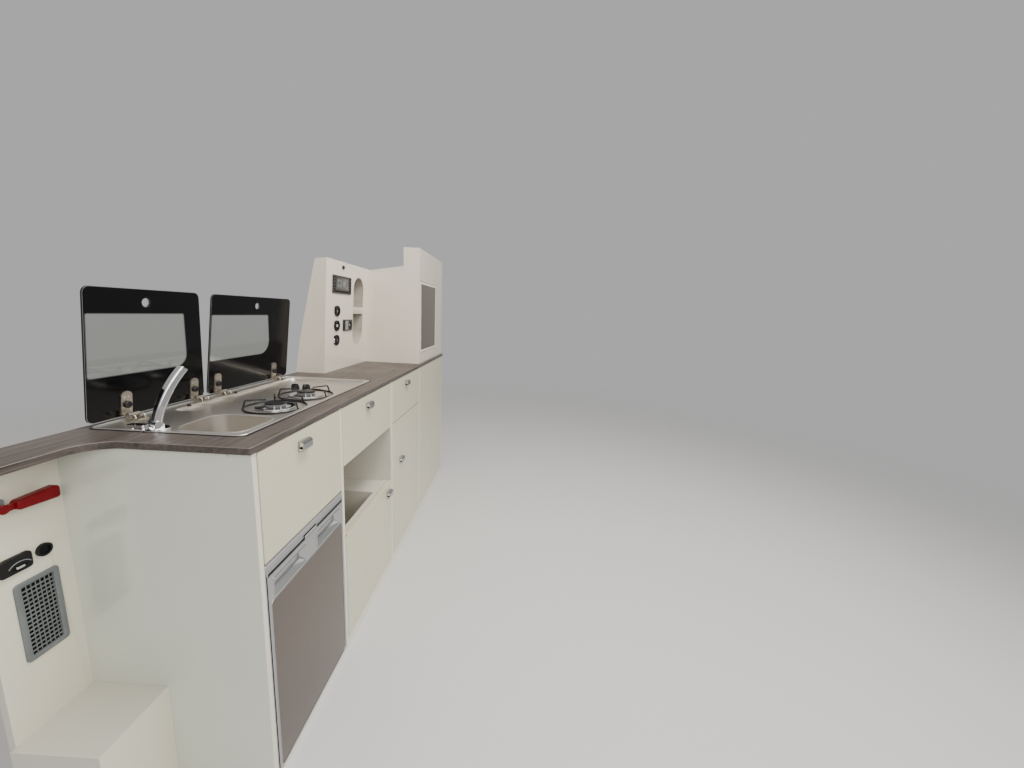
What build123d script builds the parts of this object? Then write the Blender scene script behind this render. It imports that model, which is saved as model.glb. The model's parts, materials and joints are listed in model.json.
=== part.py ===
from build123d import *

import os
from math import atan2, cos, hypot, sin

# Side kitchen unit of a camper van, in millimetres.
# +X runs along the van towards its rear, +Y towards the side wall, +Z up.
# The model is drawn from a datum at the worktop's near front top corner, where x, y and z are 0,
# and is moved at the end so that its origin is the middle of its footprint on the floor.

# Boards and gaps
board_t = 15.0
front_t = 18.0
back_t = 9.0
front_gap = 3.0
stack_gap = 5.0
seat_gap = 0.3
front_arris_r = 1.5

# Worktop
worktop_h = 905.0
worktop_t = 16.0
worktop_len = 2045.0
worktop_depth = 450.0
worktop_corner_r = 3.0
extension_len = 175.0
extension_front_y = 338.0
extension_fillet_r = 60.0
arris_r = 2.0

# Carcass, set back under the worktop
end_inset = 8.0
front_y = 4.0
front_proud = 2.0
carcass_back_y = 435.0
base_t = 15.0
kick_h = 20.0
column_1_w = 394.0
divider_1_t = 16.0
column_2_w = 472.0
divider_2_t = 25.0
column_3_w = 465.0
divider_3_t = 23.0
shelf_set_back = 20.0
back_vent_side = 60.0
back_vent_drop = 360.0
back_vent_h = 160.0
cap_r = 17.0
cap_t = 2.5
cap_y = 66.0
cap_gap = 1.0

# Drops of the front lines below the worktop's top
flap_drop = 291.0
drawer_2_drop = 217.0
door_2_drop = 475.0
drawer_3_drop = 212.0

# Second column: rail behind the door's head, and the step over the wheel box
rail_t = 17.0
rail_h = 38.0
step_w = 120.0
step_drop = 478.0
step_t = 12.0

# Hidden pivots that carry the doors and the flap
pivot_in = 4.0
pivot_r = 2.0
pivot_len = 12.0
pivot_clear = 0.3
pivot_end_clear = 0.5
pivot_plate_t = 2.0
pivot_plate_w = 12.0
pivot_plate_front = 2.5
pivot_plate_lift = 0.7

# Fridge
fridge_trim_h = 21.0
fridge_stile_w = 3.0
fridge_wall_t = 30.0
fridge_side_gap = 4.0
fridge_back_gap = 6.0
fridge_top_gap = 2.0
fridge_seal_gap = 4.0
fridge_door_t = 42.0
fridge_door_gap = 14.0
fridge_door_arris_r = 2.0
fridge_band_h = 71.0
fridge_panel_t = 4.0
fridge_panel_set_in = 0.5
fridge_panel_side = 8.0
fridge_panel_foot = 9.0
fridge_panel_corner_r = 10.0
latch_w = 62.0
latch_depth = 20.0
pull_side = 22.0
pull_head = 16.0
pull_h = 45.0
pull_depth = 14.0
pull_slope_deg = 32.0

# Drawers
drawer_wall_t = 12.0
drawer_depth = 380.0
drawer_floor_lift = 18.0
drawer_2_box_h = 120.0
drawer_3_box_h = 150.0
runner_w = 12.5
runner_h = 35.0
runner_len = 360.0
runner_lift = 30.0
runner_set_back = 8.0
runner_clear = 0.4

# Push locks: a chrome bar with a rounded face and an oval hollow in each end
lock_w = 44.0
lock_h = 28.0
lock_depth = 16.0
lock_face_r = 8.0
lock_wall = 3.0
lock_end_depth = 14.0
lock_near = 20.0
lock_drop = 40.0
lock_side = 45.0
lock_head = 45.0
lock_3_side = 117.0
lock_3_head = 210.0

# Sink and hob plate, let into the worktop
deck_x0 = 68.0
deck_y0 = 63.0
deck_w = 770.0
deck_d = 364.0
deck_t = 1.5
deck_corner_r = 22.0
sheet_t = 1.2
flange_w = 12.0
bowl_rim_side = 22.0
bowl_rim_front = 25.0
bowl_w = 142.0
bowl_d = 162.0
bowl_depth = 115.0
bowl_corner_r = 36.0
bowl_foot_r = 20.0
recess_gap = 14.0
recess_rim_end = 24.0
recess_rim_front = 17.0
recess_rim_back = 39.0
recess_depth = 8.0
recess_corner_r = 18.0
recess_foot_r = 3.0
waste_flange_r = 22.0
waste_flange_t = 1.5
waste_bore_r = 18.0
waste_cup_gap = 0.5
waste_cup_h = 12.0
spigot_r = 12.5
spigot_wall = 2.5
spigot_len = 40.0

# Lids: glass panes on strap hinges, standing open and leaning a little over the plate
lid_t = 4.0
lid_d = 317.0
lid_open_deg = 83.7
lid_corner_r = 16.0
lid_tail = 6.0
lid_lift = 18.0
lid_overhang = 2.0
lid_gap = 12.0
lid_1_w = 336.0
lid_1_taper = 28.0
lid_1_hole = 146.0
lid_2_w = 420.0
lid_2_taper = 10.0
lid_2_hole = 221.0
lid_hole_r = 11.0
lid_hole_inset = 33.0
hinge_inset = 22.0
hinge_z = 12.0
hinge_pin_r = 3.0
hinge_clear = 0.3
knuckle_r = 6.0
knuckle_gap = 1.0
neck_front = 3.0
neck_back = 2.0
strap_w = 28.0
strap_t = 3.0
strap_len = 58.0
strap_1_near = 90.0
strap_1_far = 41.0
strap_2_near = 40.0
strap_2_far = 89.0
strap_knob_up = 24.0
strap_knob_r = 8.0
strap_knob_h = 6.0
foot_ear_t = 4.0
foot_len = 34.0
foot_back = 8.0
foot_t = 3.0
prong_r = 2.0
prong_near = 5.0
prong_far = 17.0
prong_rise = 12.0

# Tap: an arched square spout that folds down into the bowl
tap_side = 16.0
tap_gap = 28.0
tap_turn_deg = -30.0
tap_axis_z = 15.0
tap_reach = 61.0
tap_rise = 127.0
tap_bulge = 8.5
tap_w = 26.0
tap_t = 16.0
tap_corner_r = 4.0
tap_pin_r = 4.0
tap_ear_t = 5.0
tap_ear_r = 9.0
tap_ear_gap = 1.0
tap_flange_r = 24.0
tap_flange_t = 4.0
lever_len = 42.0
lever_w = 18.0
lever_t = 7.0
lever_lift = 3.0
lever_corner_r = 5.0
lever_post_r = 6.0
lever_post_in = 10.0

# Burners and pan supports, placed from the hob recess's near front corner
burner_1_x = 119.0
burner_1_y = 94.0
burner_2_x = 297.0
burner_2_y = 98.0
dish_r = 55.0
dish_rim_h = 3.5
dish_lip_w = 6.0
dish_lip_h = 4.5
dish_floor_h = 1.5
head_r = 29.0
head_foot_w = 5.0
head_waist = 3.0
head_edge_drop = 5.0
head_edge_h = 3.5
burner_h = 18.0
wire_r = 2.5
support_r = 84.0
support_top_z = 20.0
support_inner_r = 24.0
support_lean = 7.0
support_bend_r = 5.0
support_turns_deg = (34.0, 118.0, 255.0, 325.0)
knob_r = 15.0
knob_taper = 2.0
knob_h = 20.0
knobs_x = 390.0
knobs_y = 170.0
knob_pitch = 42.0
knob_count = 2

# Control tower on the worktop
tower_x0 = 958.0
tower_foot_y = 323.0
tower_lean = 29.0
tower_face_h = 510.0
tower_top_back_y = 346.0
tower_top_back_z = 503.0
wall_knee_y = 427.0
wall_knee_z = 155.0
wall_foot_y = 453.0
seat_cut = 5.0
niche_x = 1304.0
niche_w = 128.0
niche_low = 113.0
niche_head = 55.0
niche_depth = 48.0
niche_liner_t = 3.0
niche_shelf_h = 268.0
niche_shelf_t = 4.0
niche_lip_h = 35.0
niche_shelf_side = 0.5
button_x = 1118.0
button_drop = 25.0
button_r = 9.0
button_proud = 5.0
button_stem_r = 6.5
display_gap = 31.5
display_x = 1110.0
display_w = 190.0
display_tall = 83.0
display_t = 10.0
display_proud = 4.0
display_edge = 0.5
display_corner_r = 4.0
socket_x = 1065.0
socket_gap = 55.5
socket_pitch = 68.0
socket_count = 3
socket_r = 25.0
socket_bore_r = 11.0
socket_wall = 3.5
socket_proud = 6.0
socket_floor_t = 3.0
twin_x = 1178.0
twin_w = 95.0
twin_tall = 55.0
twin_proud = 6.0
twin_corner_r = 6.0
twin_rim = 8.0
twin_bore_r = 12.0

# Wardrobe behind the tower
wardrobe_x0 = 1430.0
wardrobe_front_y = 12.0
wardrobe_top_z = 637.0
wardrobe_top_t = 12.0
wardrobe_step_y = 100.0
wardrobe_step_z = 538.0
wardrobe_knee_y = 296.0
wardrobe_knee_z = 506.0
wardrobe_door_x1 = 1844.0
wardrobe_door_low = 60.0
wardrobe_door_high = 465.0
wardrobe_door_t = 16.0
wardrobe_frame_w = 14.0
mirror_t = 3.0
mirror_set_in = 0.5

# Front extension: a panel with the vent, the outlets and the red handle, and a low box
panel_x0 = -140.0
vent_x = -61.0
vent_z = -372.0
vent_w = 77.0
vent_h = 180.0
vent_t = 4.0
vent_corner_r = 8.0
vent_border = 11.0
vent_rows = 14
vent_columns = 6
vent_slot_h = 5.5
vent_rib = 2.4
outlet_x = -41.0
outlet_z = -235.0
outlet_r = 14.0
outlet_wall = 4.0
outlet_proud = 5.0
inlet_x = -91.0
inlet_z = -237.0
inlet_w = 54.0
inlet_h = 36.0
inlet_t = 8.0
inlet_corner_r = 7.0
inlet_edge_r = 3.0
handle_x0 = -91.0
handle_x1 = -19.0
handle_z = -108.0
handle_h = 28.0
handle_root_h = 20.0
handle_t = 20.0
handle_corner_r = 7.0
handle_edge_r = 4.0
handle_stand_off = 14.0
handle_neck_h = 12.0
handle_neck_t = 8.0
handle_neck_len = 16.0
handle_boss_r = 9.0
box_x0 = -150.0
box_top_drop = 620.0
box_depth = 185.0

# Floor fixings
bolt_r = 4.0
bolt_span_x = 1400.0
bolt_span_y = 320.0
bolt_x0 = 500.0
bolt_y0 = 70.0

# Stations along the unit, worked out from the sizes above
floor_z = -worktop_h
under_top = -worktop_t
base_top = floor_z + base_t
column_1_x0 = end_inset + board_t
column_1_x1 = column_1_x0 + column_1_w
column_2_x0 = column_1_x1 + divider_1_t
column_2_x1 = column_2_x0 + column_2_w
column_3_x0 = column_2_x1 + divider_2_t
column_3_x1 = column_3_x0 + column_3_w
column_4_x0 = column_3_x1 + divider_3_t
column_4_x1 = worktop_len - board_t
face_y = front_y - front_proud
front_back_y = face_y + front_t
front_top = under_top - front_gap
door_foot = base_top + kick_h + front_gap
door_3_head = -drawer_3_drop - stack_gap
fridge_trim_top = -flap_drop - front_gap
fridge_trim_foot = fridge_trim_top - fridge_trim_h
fridge_door_head = fridge_trim_foot - fridge_door_gap

# Places on the sink and hob plate
bowl_x0 = deck_x0 + bowl_rim_side
bowl_y0 = deck_y0 + bowl_rim_front
recess_x0 = bowl_x0 + bowl_w + recess_gap
recess_y0 = deck_y0 + recess_rim_front
recess_w = deck_x0 + deck_w - recess_rim_end - recess_x0
recess_d = deck_d - recess_rim_front - recess_rim_back
recess_floor = -recess_depth
tap_x = deck_x0 + tap_side
tap_y = bowl_y0 + bowl_d + tap_gap
hinge_y = deck_y0 + deck_d - hinge_inset
lid_1_x0 = deck_x0 - lid_overhang
lid_2_x0 = lid_1_x0 + lid_1_w + lid_gap

# Heights up the control tower's face
tower_lean_rad = atan2(tower_lean, tower_face_h)
niche_high = tower_face_h - niche_head
button_up = tower_face_h - button_drop
display_up = button_up - button_r - display_gap - display_tall / 2
socket_up = display_up - display_tall / 2 - socket_gap - socket_r
socket_ups = [socket_up - i * socket_pitch for i in range(socket_count)]

nodes = {}


def slab(x, y, z):
    """A box given by its low and high value along each axis."""
    size = (x[1] - x[0], y[1] - y[0], z[1] - z[0])
    middle = ((x[0] + x[1]) / 2, (y[0] + y[1]) / 2, (z[0] + z[1]) / 2)
    return Pos(*middle) * Box(*size)


def group(shapes):
    """Like pieces on one body, as one node of separate solids."""
    return Compound(children=[s for shape in shapes for s in shape.solids()])


def rounded(x0, y0, w, d, r):
    """A rounded rectangle on the XY plane from its low corner."""
    return Pos(x0 + w / 2, y0 + d / 2) * RectangleRounded(w, d, r)


def side_profile(points, x0, x1):
    """Extrude a closed outline of (y, z) points from x0 to x1."""
    plane = Plane(origin=(x0, 0, 0), x_dir=(0, 1, 0), z_dir=(1, 0, 0))
    return extrude(plane * make_face(Polyline(*points, close=True)), x1 - x0)


def on_front(y):
    """A plane that faces the aisle, its x along the unit and its y up."""
    return Plane(origin=(0, y, 0), x_dir=(1, 0, 0), z_dir=(0, -1, 0))


def upright(x, y, z0, z1, r):
    """A round bar along Z."""
    return Pos(x, y, (z0 + z1) / 2) * Cylinder(r, z1 - z0)


def level(y, z, x0, x1, r):
    """A round bar along X."""
    return Pos((x0 + x1) / 2, y, z) * Rot(0, 90, 0) * Cylinder(r, x1 - x0)


def crosswise(x, z, y0, y1, r):
    """A round bar along Y."""
    return Pos(x, (y0 + y1) / 2, z) * Rot(90, 0, 0) * Cylinder(r, y1 - y0)


# Worktop and carcass boards
def worktop():
    points = (
        (0, 0), (worktop_len, 0), (worktop_len, worktop_depth), (-extension_len, worktop_depth),
        (-extension_len, extension_front_y), (0, extension_front_y),
    )
    outline = make_face(Polyline(*points, close=True))
    inner = outline.vertices().sort_by_distance((0, extension_front_y))[0]
    outline = fillet(inner, extension_fillet_r)
    outline = fillet(outline.vertices().group_by(Axis.Y)[0], worktop_corner_r)
    body = extrude(outline, -worktop_t)
    body = fillet(body.edges().group_by(Axis.Z)[-1], arris_r)
    cut_w = deck_w - 2 * flange_w
    cut_d = deck_d - 2 * flange_w
    cut = rounded(deck_x0 + flange_w, deck_y0 + flange_w, cut_w, cut_d, deck_corner_r - flange_w / 2)
    return body - extrude(cut, -worktop_t)


def carcass():
    columns = ((column_1_x0, column_1_x1), (column_2_x0, column_2_x1))
    columns += ((column_3_x0, column_3_x1), (column_4_x0, column_4_x1))
    depth = (front_y, carcass_back_y)
    nodes["worktop"] = worktop()
    nodes["end_panel"] = slab((end_inset, column_1_x0), depth, (floor_z, under_top))
    nodes["rear_end_panel"] = slab((column_4_x1, worktop_len), depth, (floor_z, under_top))
    cap_z = under_top - cap_gap - cap_r
    nodes["end_cap"] = level(cap_y, cap_z, end_inset - cap_t, end_inset, cap_r)
    dividers = []
    for left, right in zip(columns, columns[1:]):
        dividers.append(slab((left[1], right[0]), depth, (base_top, under_top)))
    nodes["dividers"] = group(dividers)
    base = slab((column_1_x0, column_4_x1), depth, (floor_z, base_top))
    for x in (bolt_x0, bolt_x0 + bolt_span_x):
        for y in (bolt_y0, bolt_y0 + bolt_span_y):
            base -= upright(x, y, floor_z, base_top, bolt_r)
    nodes["base_board"] = base
    kicks = []
    for x in columns[1:]:
        kicks.append(slab(x, (front_y, front_y + board_t), (base_top, base_top + kick_h)))
    nodes["kick_rails"] = group(kicks)
    back_y = (carcass_back_y, carcass_back_y + back_t)
    vent_x_range = (column_1_x0 + back_vent_side, column_1_x1 - back_vent_side)
    vent = slab(vent_x_range, back_y, (-back_vent_drop - back_vent_h, -back_vent_drop))
    nodes["back_panel"] = slab((column_1_x0, worktop_len), back_y, (floor_z, under_top)) - vent
    nodes["column_4_panel"] = slab(columns[3], (front_y, front_y + front_t), (base_top + kick_h, under_top))
    shelf_y = (front_y + shelf_set_back, carcass_back_y)
    rail_y = front_back_y + front_gap
    nodes["shelf_boards"] = group([
        slab(columns[1], shelf_y, (-drawer_2_drop - board_t, -drawer_2_drop)),
        slab(columns[1], (rail_y, rail_y + rail_t), (-door_2_drop - rail_h, -door_2_drop)),
        slab(columns[2], shelf_y, (-drawer_3_drop - board_t, -drawer_3_drop)),
    ])
    step_x0 = column_2_x1 - step_w
    step_y = (rail_y + rail_t, carcass_back_y)
    step = slab((step_x0, column_2_x1), step_y, (-step_drop - step_t, -step_drop))
    nodes["wheel_box_step"] = step + slab((step_x0, step_x0 + step_t), step_y, (base_top, -step_drop))


# Fronts, drawers and their locks
def lock(x, z):
    """A chrome bar with a rounded face and an oval hollow in each end."""
    half = lock_w / 2
    bar = slab((x - half, x + half), (face_y - lock_depth, face_y), (z - lock_h / 2, z + lock_h / 2))
    bar = fillet(bar.edges().filter_by(Axis.X).group_by(Axis.Y)[0], lock_face_r)
    oval = SlotOverall(lock_h - 2 * lock_wall, lock_depth - 2 * lock_wall)
    for end_x in (x - half, x + half):
        end = Plane(origin=(end_x, face_y - lock_depth / 2, z), x_dir=(0, 0, 1), z_dir=(1, 0, 0))
        bar -= extrude(end * oval, amount=lock_end_depth, both=True)
    return bar


def front(x0, x1, z0, z1):
    board = slab((x0 + front_gap, x1 - front_gap), (face_y, front_back_y), (z0, z1))
    return fillet(board.edges().group_by(Axis.Y)[0], front_arris_r)


def drawer_box(x0, x1, foot_z, height):
    side = runner_w + runner_clear
    x = (x0 + side, x1 - side)
    y = (front_back_y, front_back_y + drawer_depth)
    z = (foot_z, foot_z + height)
    t = drawer_wall_t
    return slab(x, y, z) - slab((x[0] + t, x[1] - t), (y[0] + t, y[1] - t), (z[0] + t, z[1]))


def runners(x0, x1, foot_z):
    z = (foot_z + runner_lift, foot_z + runner_lift + runner_h)
    y = (front_back_y + runner_set_back, front_back_y + runner_set_back + runner_len)
    return [slab((x0, x0 + runner_w), y, z), slab((x1 - runner_w, x1), y, z)]


def fronts():
    # Columns: name, left, right, foot and head of each front
    boards = (
        ("flap_1", column_1_x0, column_1_x1, -flap_drop, front_top),
        ("drawer_2_front", column_2_x0, column_2_x1, -drawer_2_drop, front_top),
        ("drawer_3_front", column_3_x0, column_3_x1, -drawer_3_drop, front_top),
        ("door_2", column_2_x0, column_2_x1, door_foot, -door_2_drop),
        ("door_3", column_3_x0, column_3_x1, door_foot, door_3_head),
    )
    for name, x0, x1, z0, z1 in boards:
        nodes[name] = front(x0, x1, z0, z1)
    foot_2 = -drawer_2_drop + drawer_floor_lift
    foot_3 = -drawer_3_drop + drawer_floor_lift
    nodes["drawer_2_box"] = drawer_box(column_2_x0, column_2_x1, foot_2, drawer_2_box_h)
    nodes["drawer_3_box"] = drawer_box(column_3_x0, column_3_x1, foot_3, drawer_3_box_h)
    pairs = runners(column_2_x0, column_2_x1, foot_2) + runners(column_3_x0, column_3_x1, foot_3)
    nodes["drawer_runners"] = group(pairs)
    # Columns: name, middle along the unit, height
    locks = (
        ("lock_flap_1", (column_1_x0 + column_1_x1) / 2 - lock_near, front_top - lock_drop),
        ("lock_drawer_2", (column_2_x0 + column_2_x1) / 2 - lock_near, front_top - lock_drop),
        ("lock_drawer_3", (column_3_x0 + column_3_x1) / 2 - lock_near, front_top - lock_drop),
        ("lock_door_2", column_2_x1 - lock_side, -door_2_drop - lock_head),
        ("lock_door_3", column_3_x0 + lock_3_side, door_3_head - lock_3_head),
    )
    for name, x, z in locks:
        nodes[name] = lock(x, z)


# Pivots
def hang_upright(name, x, y, foot, head, below, above):
    """Bore a door for its pivots and return the two pins that reach it from below and above."""
    bore_r = pivot_r + pivot_clear
    bore_len = pivot_len + pivot_end_clear
    nodes[name] -= upright(x, y, foot, foot + bore_len, bore_r)
    nodes[name] -= upright(x, y, head - bore_len, head, bore_r)
    return [upright(x, y, below, foot + pivot_len, pivot_r), upright(x, y, head - pivot_len, above, pivot_r)]


def pivots():
    pins = []
    y = face_y + pivot_in
    flap_z = -flap_drop + pivot_in
    reach = front_gap + pivot_len
    for x0, x1 in ((column_1_x0, column_1_x0 + reach), (column_1_x1 - reach, column_1_x1)):
        bore = level(y, flap_z, x0 - pivot_end_clear, x1 + pivot_end_clear, pivot_r + pivot_clear)
        nodes["flap_1"] -= bore
        pins.append(level(y, flap_z, x0, x1, pivot_r))
    # Columns: door, face of the board that carries it, way into the column from there, head of the door
    doors = (("door_2", column_2_x0, 1, -door_2_drop), ("door_3", column_3_x1, -1, door_3_head))
    for name, side, inward, head in doors:
        x = side + inward * (front_gap + pivot_in)
        plate_z = (head + pivot_plate_lift, head + pivot_plate_lift + pivot_plate_t)
        foot_pin, head_pin = hang_upright(name, x, y, door_foot, head, base_top + kick_h, plate_z[1])
        plate_x = sorted((side, x + inward * pivot_in))
        plate = slab(plate_x, (y - pivot_plate_front, y + pivot_plate_w), plate_z)
        pins += [foot_pin, head_pin + plate]
    x = column_1_x0 + fridge_stile_w + front_gap + pivot_in
    foot = base_top + front_gap
    pins += hang_upright("fridge_door", x, y, foot, fridge_door_head, base_top, fridge_trim_foot)
    x = wardrobe_door_x1 - front_gap - pivot_in
    y = wardrobe_front_y - front_proud + pivot_in
    foot = wardrobe_door_low + front_gap
    head = wardrobe_door_high - front_gap
    pins += hang_upright("wardrobe_door", x, y, foot, head, wardrobe_door_low, wardrobe_door_high)
    nodes["pivot_pins"] = group(pins)


# Fridge
def finger_pull(x0, x1, z0, z1):
    """A moulded pull with sloping sides, cut into the door's face."""
    inward = Plane(origin=((x0 + x1) / 2, face_y, (z0 + z1) / 2), x_dir=(1, 0, 0), z_dir=(0, 1, 0))
    return extrude(inward * Rectangle(x1 - x0, z1 - z0), pull_depth, taper=pull_slope_deg)


def fridge():
    x0 = column_1_x0
    x1 = column_1_x1
    frame_y = (front_y, front_y + front_t)
    frame = slab((x0, x1), frame_y, (fridge_trim_foot, fridge_trim_top))
    for stile in ((x0, x0 + fridge_stile_w), (x1 - fridge_stile_w, x1)):
        frame += slab(stile, frame_y, (base_top, fridge_trim_foot))
    nodes["fridge_frame"] = frame

    door_x = (x0 + fridge_stile_w + front_gap, x1 - fridge_stile_w - front_gap)
    door_y = (face_y, face_y + fridge_door_t)
    door_z = (base_top + front_gap, fridge_door_head)
    middle = (x0 + x1) / 2
    latch_x = (middle - latch_w / 2, middle + latch_w / 2)
    door = slab(door_x, door_y, door_z)
    door = fillet(door.edges().group_by(Axis.Y)[0], fridge_door_arris_r)
    door += slab(latch_x, (face_y, face_y + latch_depth), (door_z[1], fridge_trim_foot - front_gap))
    pull_z = (door_z[1] - pull_head - pull_h, door_z[1] - pull_head)
    door -= finger_pull(door_x[0] + pull_side, latch_x[0], *pull_z)
    door -= finger_pull(latch_x[1], door_x[1] - pull_side, *pull_z)
    panel_w = door_x[1] - door_x[0] - 2 * fridge_panel_side
    panel_h = door_z[1] - fridge_band_h - door_z[0] - fridge_panel_foot
    panel = rounded(
        door_x[0] + fridge_panel_side, door_z[0] + fridge_panel_foot, panel_w, panel_h, fridge_panel_corner_r
    )
    door -= extrude(on_front(face_y) * panel, -fridge_panel_t)
    nodes["fridge_door"] = door
    pane_t = fridge_panel_t - fridge_panel_set_in
    nodes["fridge_door_panel"] = extrude(on_front(face_y + fridge_panel_set_in) * panel, -pane_t)

    cab_x = (x0 + fridge_side_gap, x1 - fridge_side_gap)
    cab_y = (door_y[1] + fridge_seal_gap, carcass_back_y - fridge_back_gap)
    cab_z = (base_top, fridge_trim_top - fridge_top_gap)
    t = fridge_wall_t
    inner = slab((cab_x[0] + t, cab_x[1] - t), (cab_y[0], cab_y[1] - t), (cab_z[0] + t, cab_z[1] - t))
    nodes["fridge_cabinet"] = slab(cab_x, cab_y, cab_z) - inner


# Sink and hob
def tray(x0, y0, w, d, depth, corner_r, foot_r):
    """A pressed hollow below the plate: its outer skin and the space inside."""
    skin = rounded(x0 - sheet_t, y0 - sheet_t, w + 2 * sheet_t, d + 2 * sheet_t, corner_r + sheet_t)
    outer = extrude(skin, -depth - sheet_t)
    outer = fillet(outer.edges().group_by(Axis.Z)[0], foot_r + sheet_t)
    inner = extrude(Pos(0, 0, deck_t) * rounded(x0, y0, w, d, corner_r), -depth - deck_t)
    inner = fillet(inner.edges().group_by(Axis.Z)[0], foot_r)
    return outer, inner


def sink_and_hob():
    plate = extrude(rounded(deck_x0, deck_y0, deck_w, deck_d, deck_corner_r), deck_t)
    bowl, bowl_space = tray(bowl_x0, bowl_y0, bowl_w, bowl_d, bowl_depth, bowl_corner_r, bowl_foot_r)
    recess, recess_space = tray(
        recess_x0, recess_y0, recess_w, recess_d, recess_depth, recess_corner_r, recess_foot_r
    )
    waste_x = bowl_x0 + bowl_w / 2
    waste_y = bowl_y0 + bowl_d / 2
    nodes["sink_hob_plate"] = plate + recess - bowl_space - recess_space
    hole = upright(waste_x, waste_y, -bowl_depth - sheet_t, -bowl_depth, waste_bore_r)
    nodes["sink_bowl"] = bowl - bowl_space - hole

    cup_foot = -bowl_depth - waste_cup_h
    spigot_foot = cup_foot - spigot_len
    flange_top = -bowl_depth + waste_flange_t
    waste = upright(waste_x, waste_y, -bowl_depth, flange_top, waste_flange_r)
    waste += upright(waste_x, waste_y, cup_foot, -bowl_depth, waste_bore_r - waste_cup_gap)
    waste += upright(waste_x, waste_y, spigot_foot, cup_foot, spigot_r)
    waste -= upright(waste_x, waste_y, spigot_foot, flange_top, spigot_r - spigot_wall)
    nodes["sink_waste"] = waste

    places = ((burner_1_x, burner_1_y), (burner_2_x, burner_2_y))
    seats = [Pos(recess_x0 + along, recess_y0 + across, recess_floor) for along, across in places]
    nodes["burners"] = group([seat * burner() for seat in seats])
    nodes["pan_supports"] = group([seat * pan_support() for seat in seats])
    knobs = []
    for i in range(knob_count):
        y = recess_y0 + knobs_y + (i - (knob_count - 1) / 2) * knob_pitch
        cap = Cone(knob_r, knob_r - knob_taper, knob_h)
        knobs.append(Pos(recess_x0 + knobs_x, y, recess_floor + knob_h / 2) * cap)
    nodes["hob_knobs"] = group(knobs)


def burner():
    """Dish, burner head and cap turned as one profile."""
    edge_z = burner_h - head_edge_drop
    points = (
        (0, 0), (dish_r, 0), (dish_r, dish_rim_h), (dish_r - dish_lip_w, dish_lip_h),
        (head_r + head_foot_w, dish_floor_h), (head_r, dish_floor_h),
        (head_r - head_waist, edge_z), (head_r, edge_z),
        (head_r - head_waist, edge_z + head_edge_h), (0, burner_h),
    )
    return revolve(Plane.XZ * make_face(Polyline(*points, close=True)), Axis.Z)


def pan_support():
    """A wire ring on the recess floor with bent wire arms that rise from it and reach in under a pan."""
    body = Pos(0, 0, wire_r) * Torus(support_r, wire_r)
    top = support_top_z - recess_floor - wire_r
    corners = ((support_r, 0, wire_r), (support_r - support_lean, 0, top), (support_inner_r, 0, top))
    line = FilletPolyline(*corners, radius=support_bend_r)
    arm = sweep(Plane(origin=line @ 0, z_dir=line % 0) * Circle(wire_r), path=line)
    for turn in support_turns_deg:
        body += Rot(0, 0, turn) * arm
    return body


# Lids and their hinges
def open_lid(shape):
    """Turn a lid piece drawn closed to its open rest pose about the hinge line."""
    return Pos(0, hinge_y, hinge_z) * Rot(-lid_open_deg, 0, 0) * Pos(0, -hinge_y, -hinge_z) * shape


def lid_glass(x0, w, near_taper, far_taper, hole):
    """A pane whose sides draw in towards its free edge, with a finger hole there."""
    y1 = hinge_y + lid_tail
    y0 = y1 - lid_d
    points = ((x0 + near_taper, y0), (x0 + w - far_taper, y0), (x0 + w, y1), (x0, y1))
    outline = make_face(Polyline(*points, close=True))
    outline = fillet(outline.vertices(), lid_corner_r)
    outline -= Pos(x0 + hole, y0 + lid_hole_inset) * Circle(lid_hole_r)
    return extrude(Pos(0, 0, hinge_z + lid_lift) * outline, lid_t)


def strap(x):
    """Strap plate under the glass with its knuckle on the hinge pin and a round knob."""
    z1 = hinge_z + lid_lift
    half = strap_w / 2
    plate = slab((x - half, x + half), (hinge_y - strap_len, hinge_y + neck_back), (z1 - strap_t, z1))
    plate = fillet(plate.edges().filter_by(Axis.Z).group_by(Axis.Y)[0], half - knuckle_gap)
    neck_x = (x - half + foot_ear_t + knuckle_gap, x + half - foot_ear_t - knuckle_gap)
    neck = slab(neck_x, (hinge_y - neck_front, hinge_y + neck_back), (hinge_z, z1))
    barrel = level(hinge_y, hinge_z, *neck_x, knuckle_r)
    bore = level(hinge_y, hinge_z, x - half, x + half, hinge_pin_r + hinge_clear)
    under = z1 - strap_t
    knob = upright(x, hinge_y - strap_knob_up, under - strap_knob_h, under, strap_knob_r)
    return plate + neck + barrel + knob - bore


def hinge_foot(x):
    """Foot plate on the deck with two ears, the pin and a curved prong from each ear."""
    half = strap_w / 2
    foot_y = (hinge_y - foot_len + foot_back, hinge_y + foot_back)
    body = slab((x - half, x + half), foot_y, (deck_t, deck_t + foot_t))
    for ear_x in ((x - half, x - half + foot_ear_t), (x + half - foot_ear_t, x + half)):
        body += slab(ear_x, (hinge_y - knuckle_r, hinge_y + knuckle_r), (deck_t, hinge_z))
        body += level(hinge_y, hinge_z, *ear_x, knuckle_r)
        prong_x = sum(ear_x) / 2
        line = ThreePointArc(
            (prong_x, hinge_y - prong_near, deck_t),
            (prong_x, hinge_y - (prong_near + prong_far) / 2, deck_t + prong_rise),
            (prong_x, hinge_y - prong_far, deck_t),
        )
        prong = sweep(Plane(origin=line @ 0, z_dir=line % 0) * Circle(prong_r), path=line)
        body += prong - slab(
            (prong_x - half, prong_x + half), (hinge_y - foot_len, hinge_y), (deck_t - foot_len, deck_t)
        )
    return body + level(hinge_y, hinge_z, x - half, x + half, hinge_pin_r)


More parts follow.
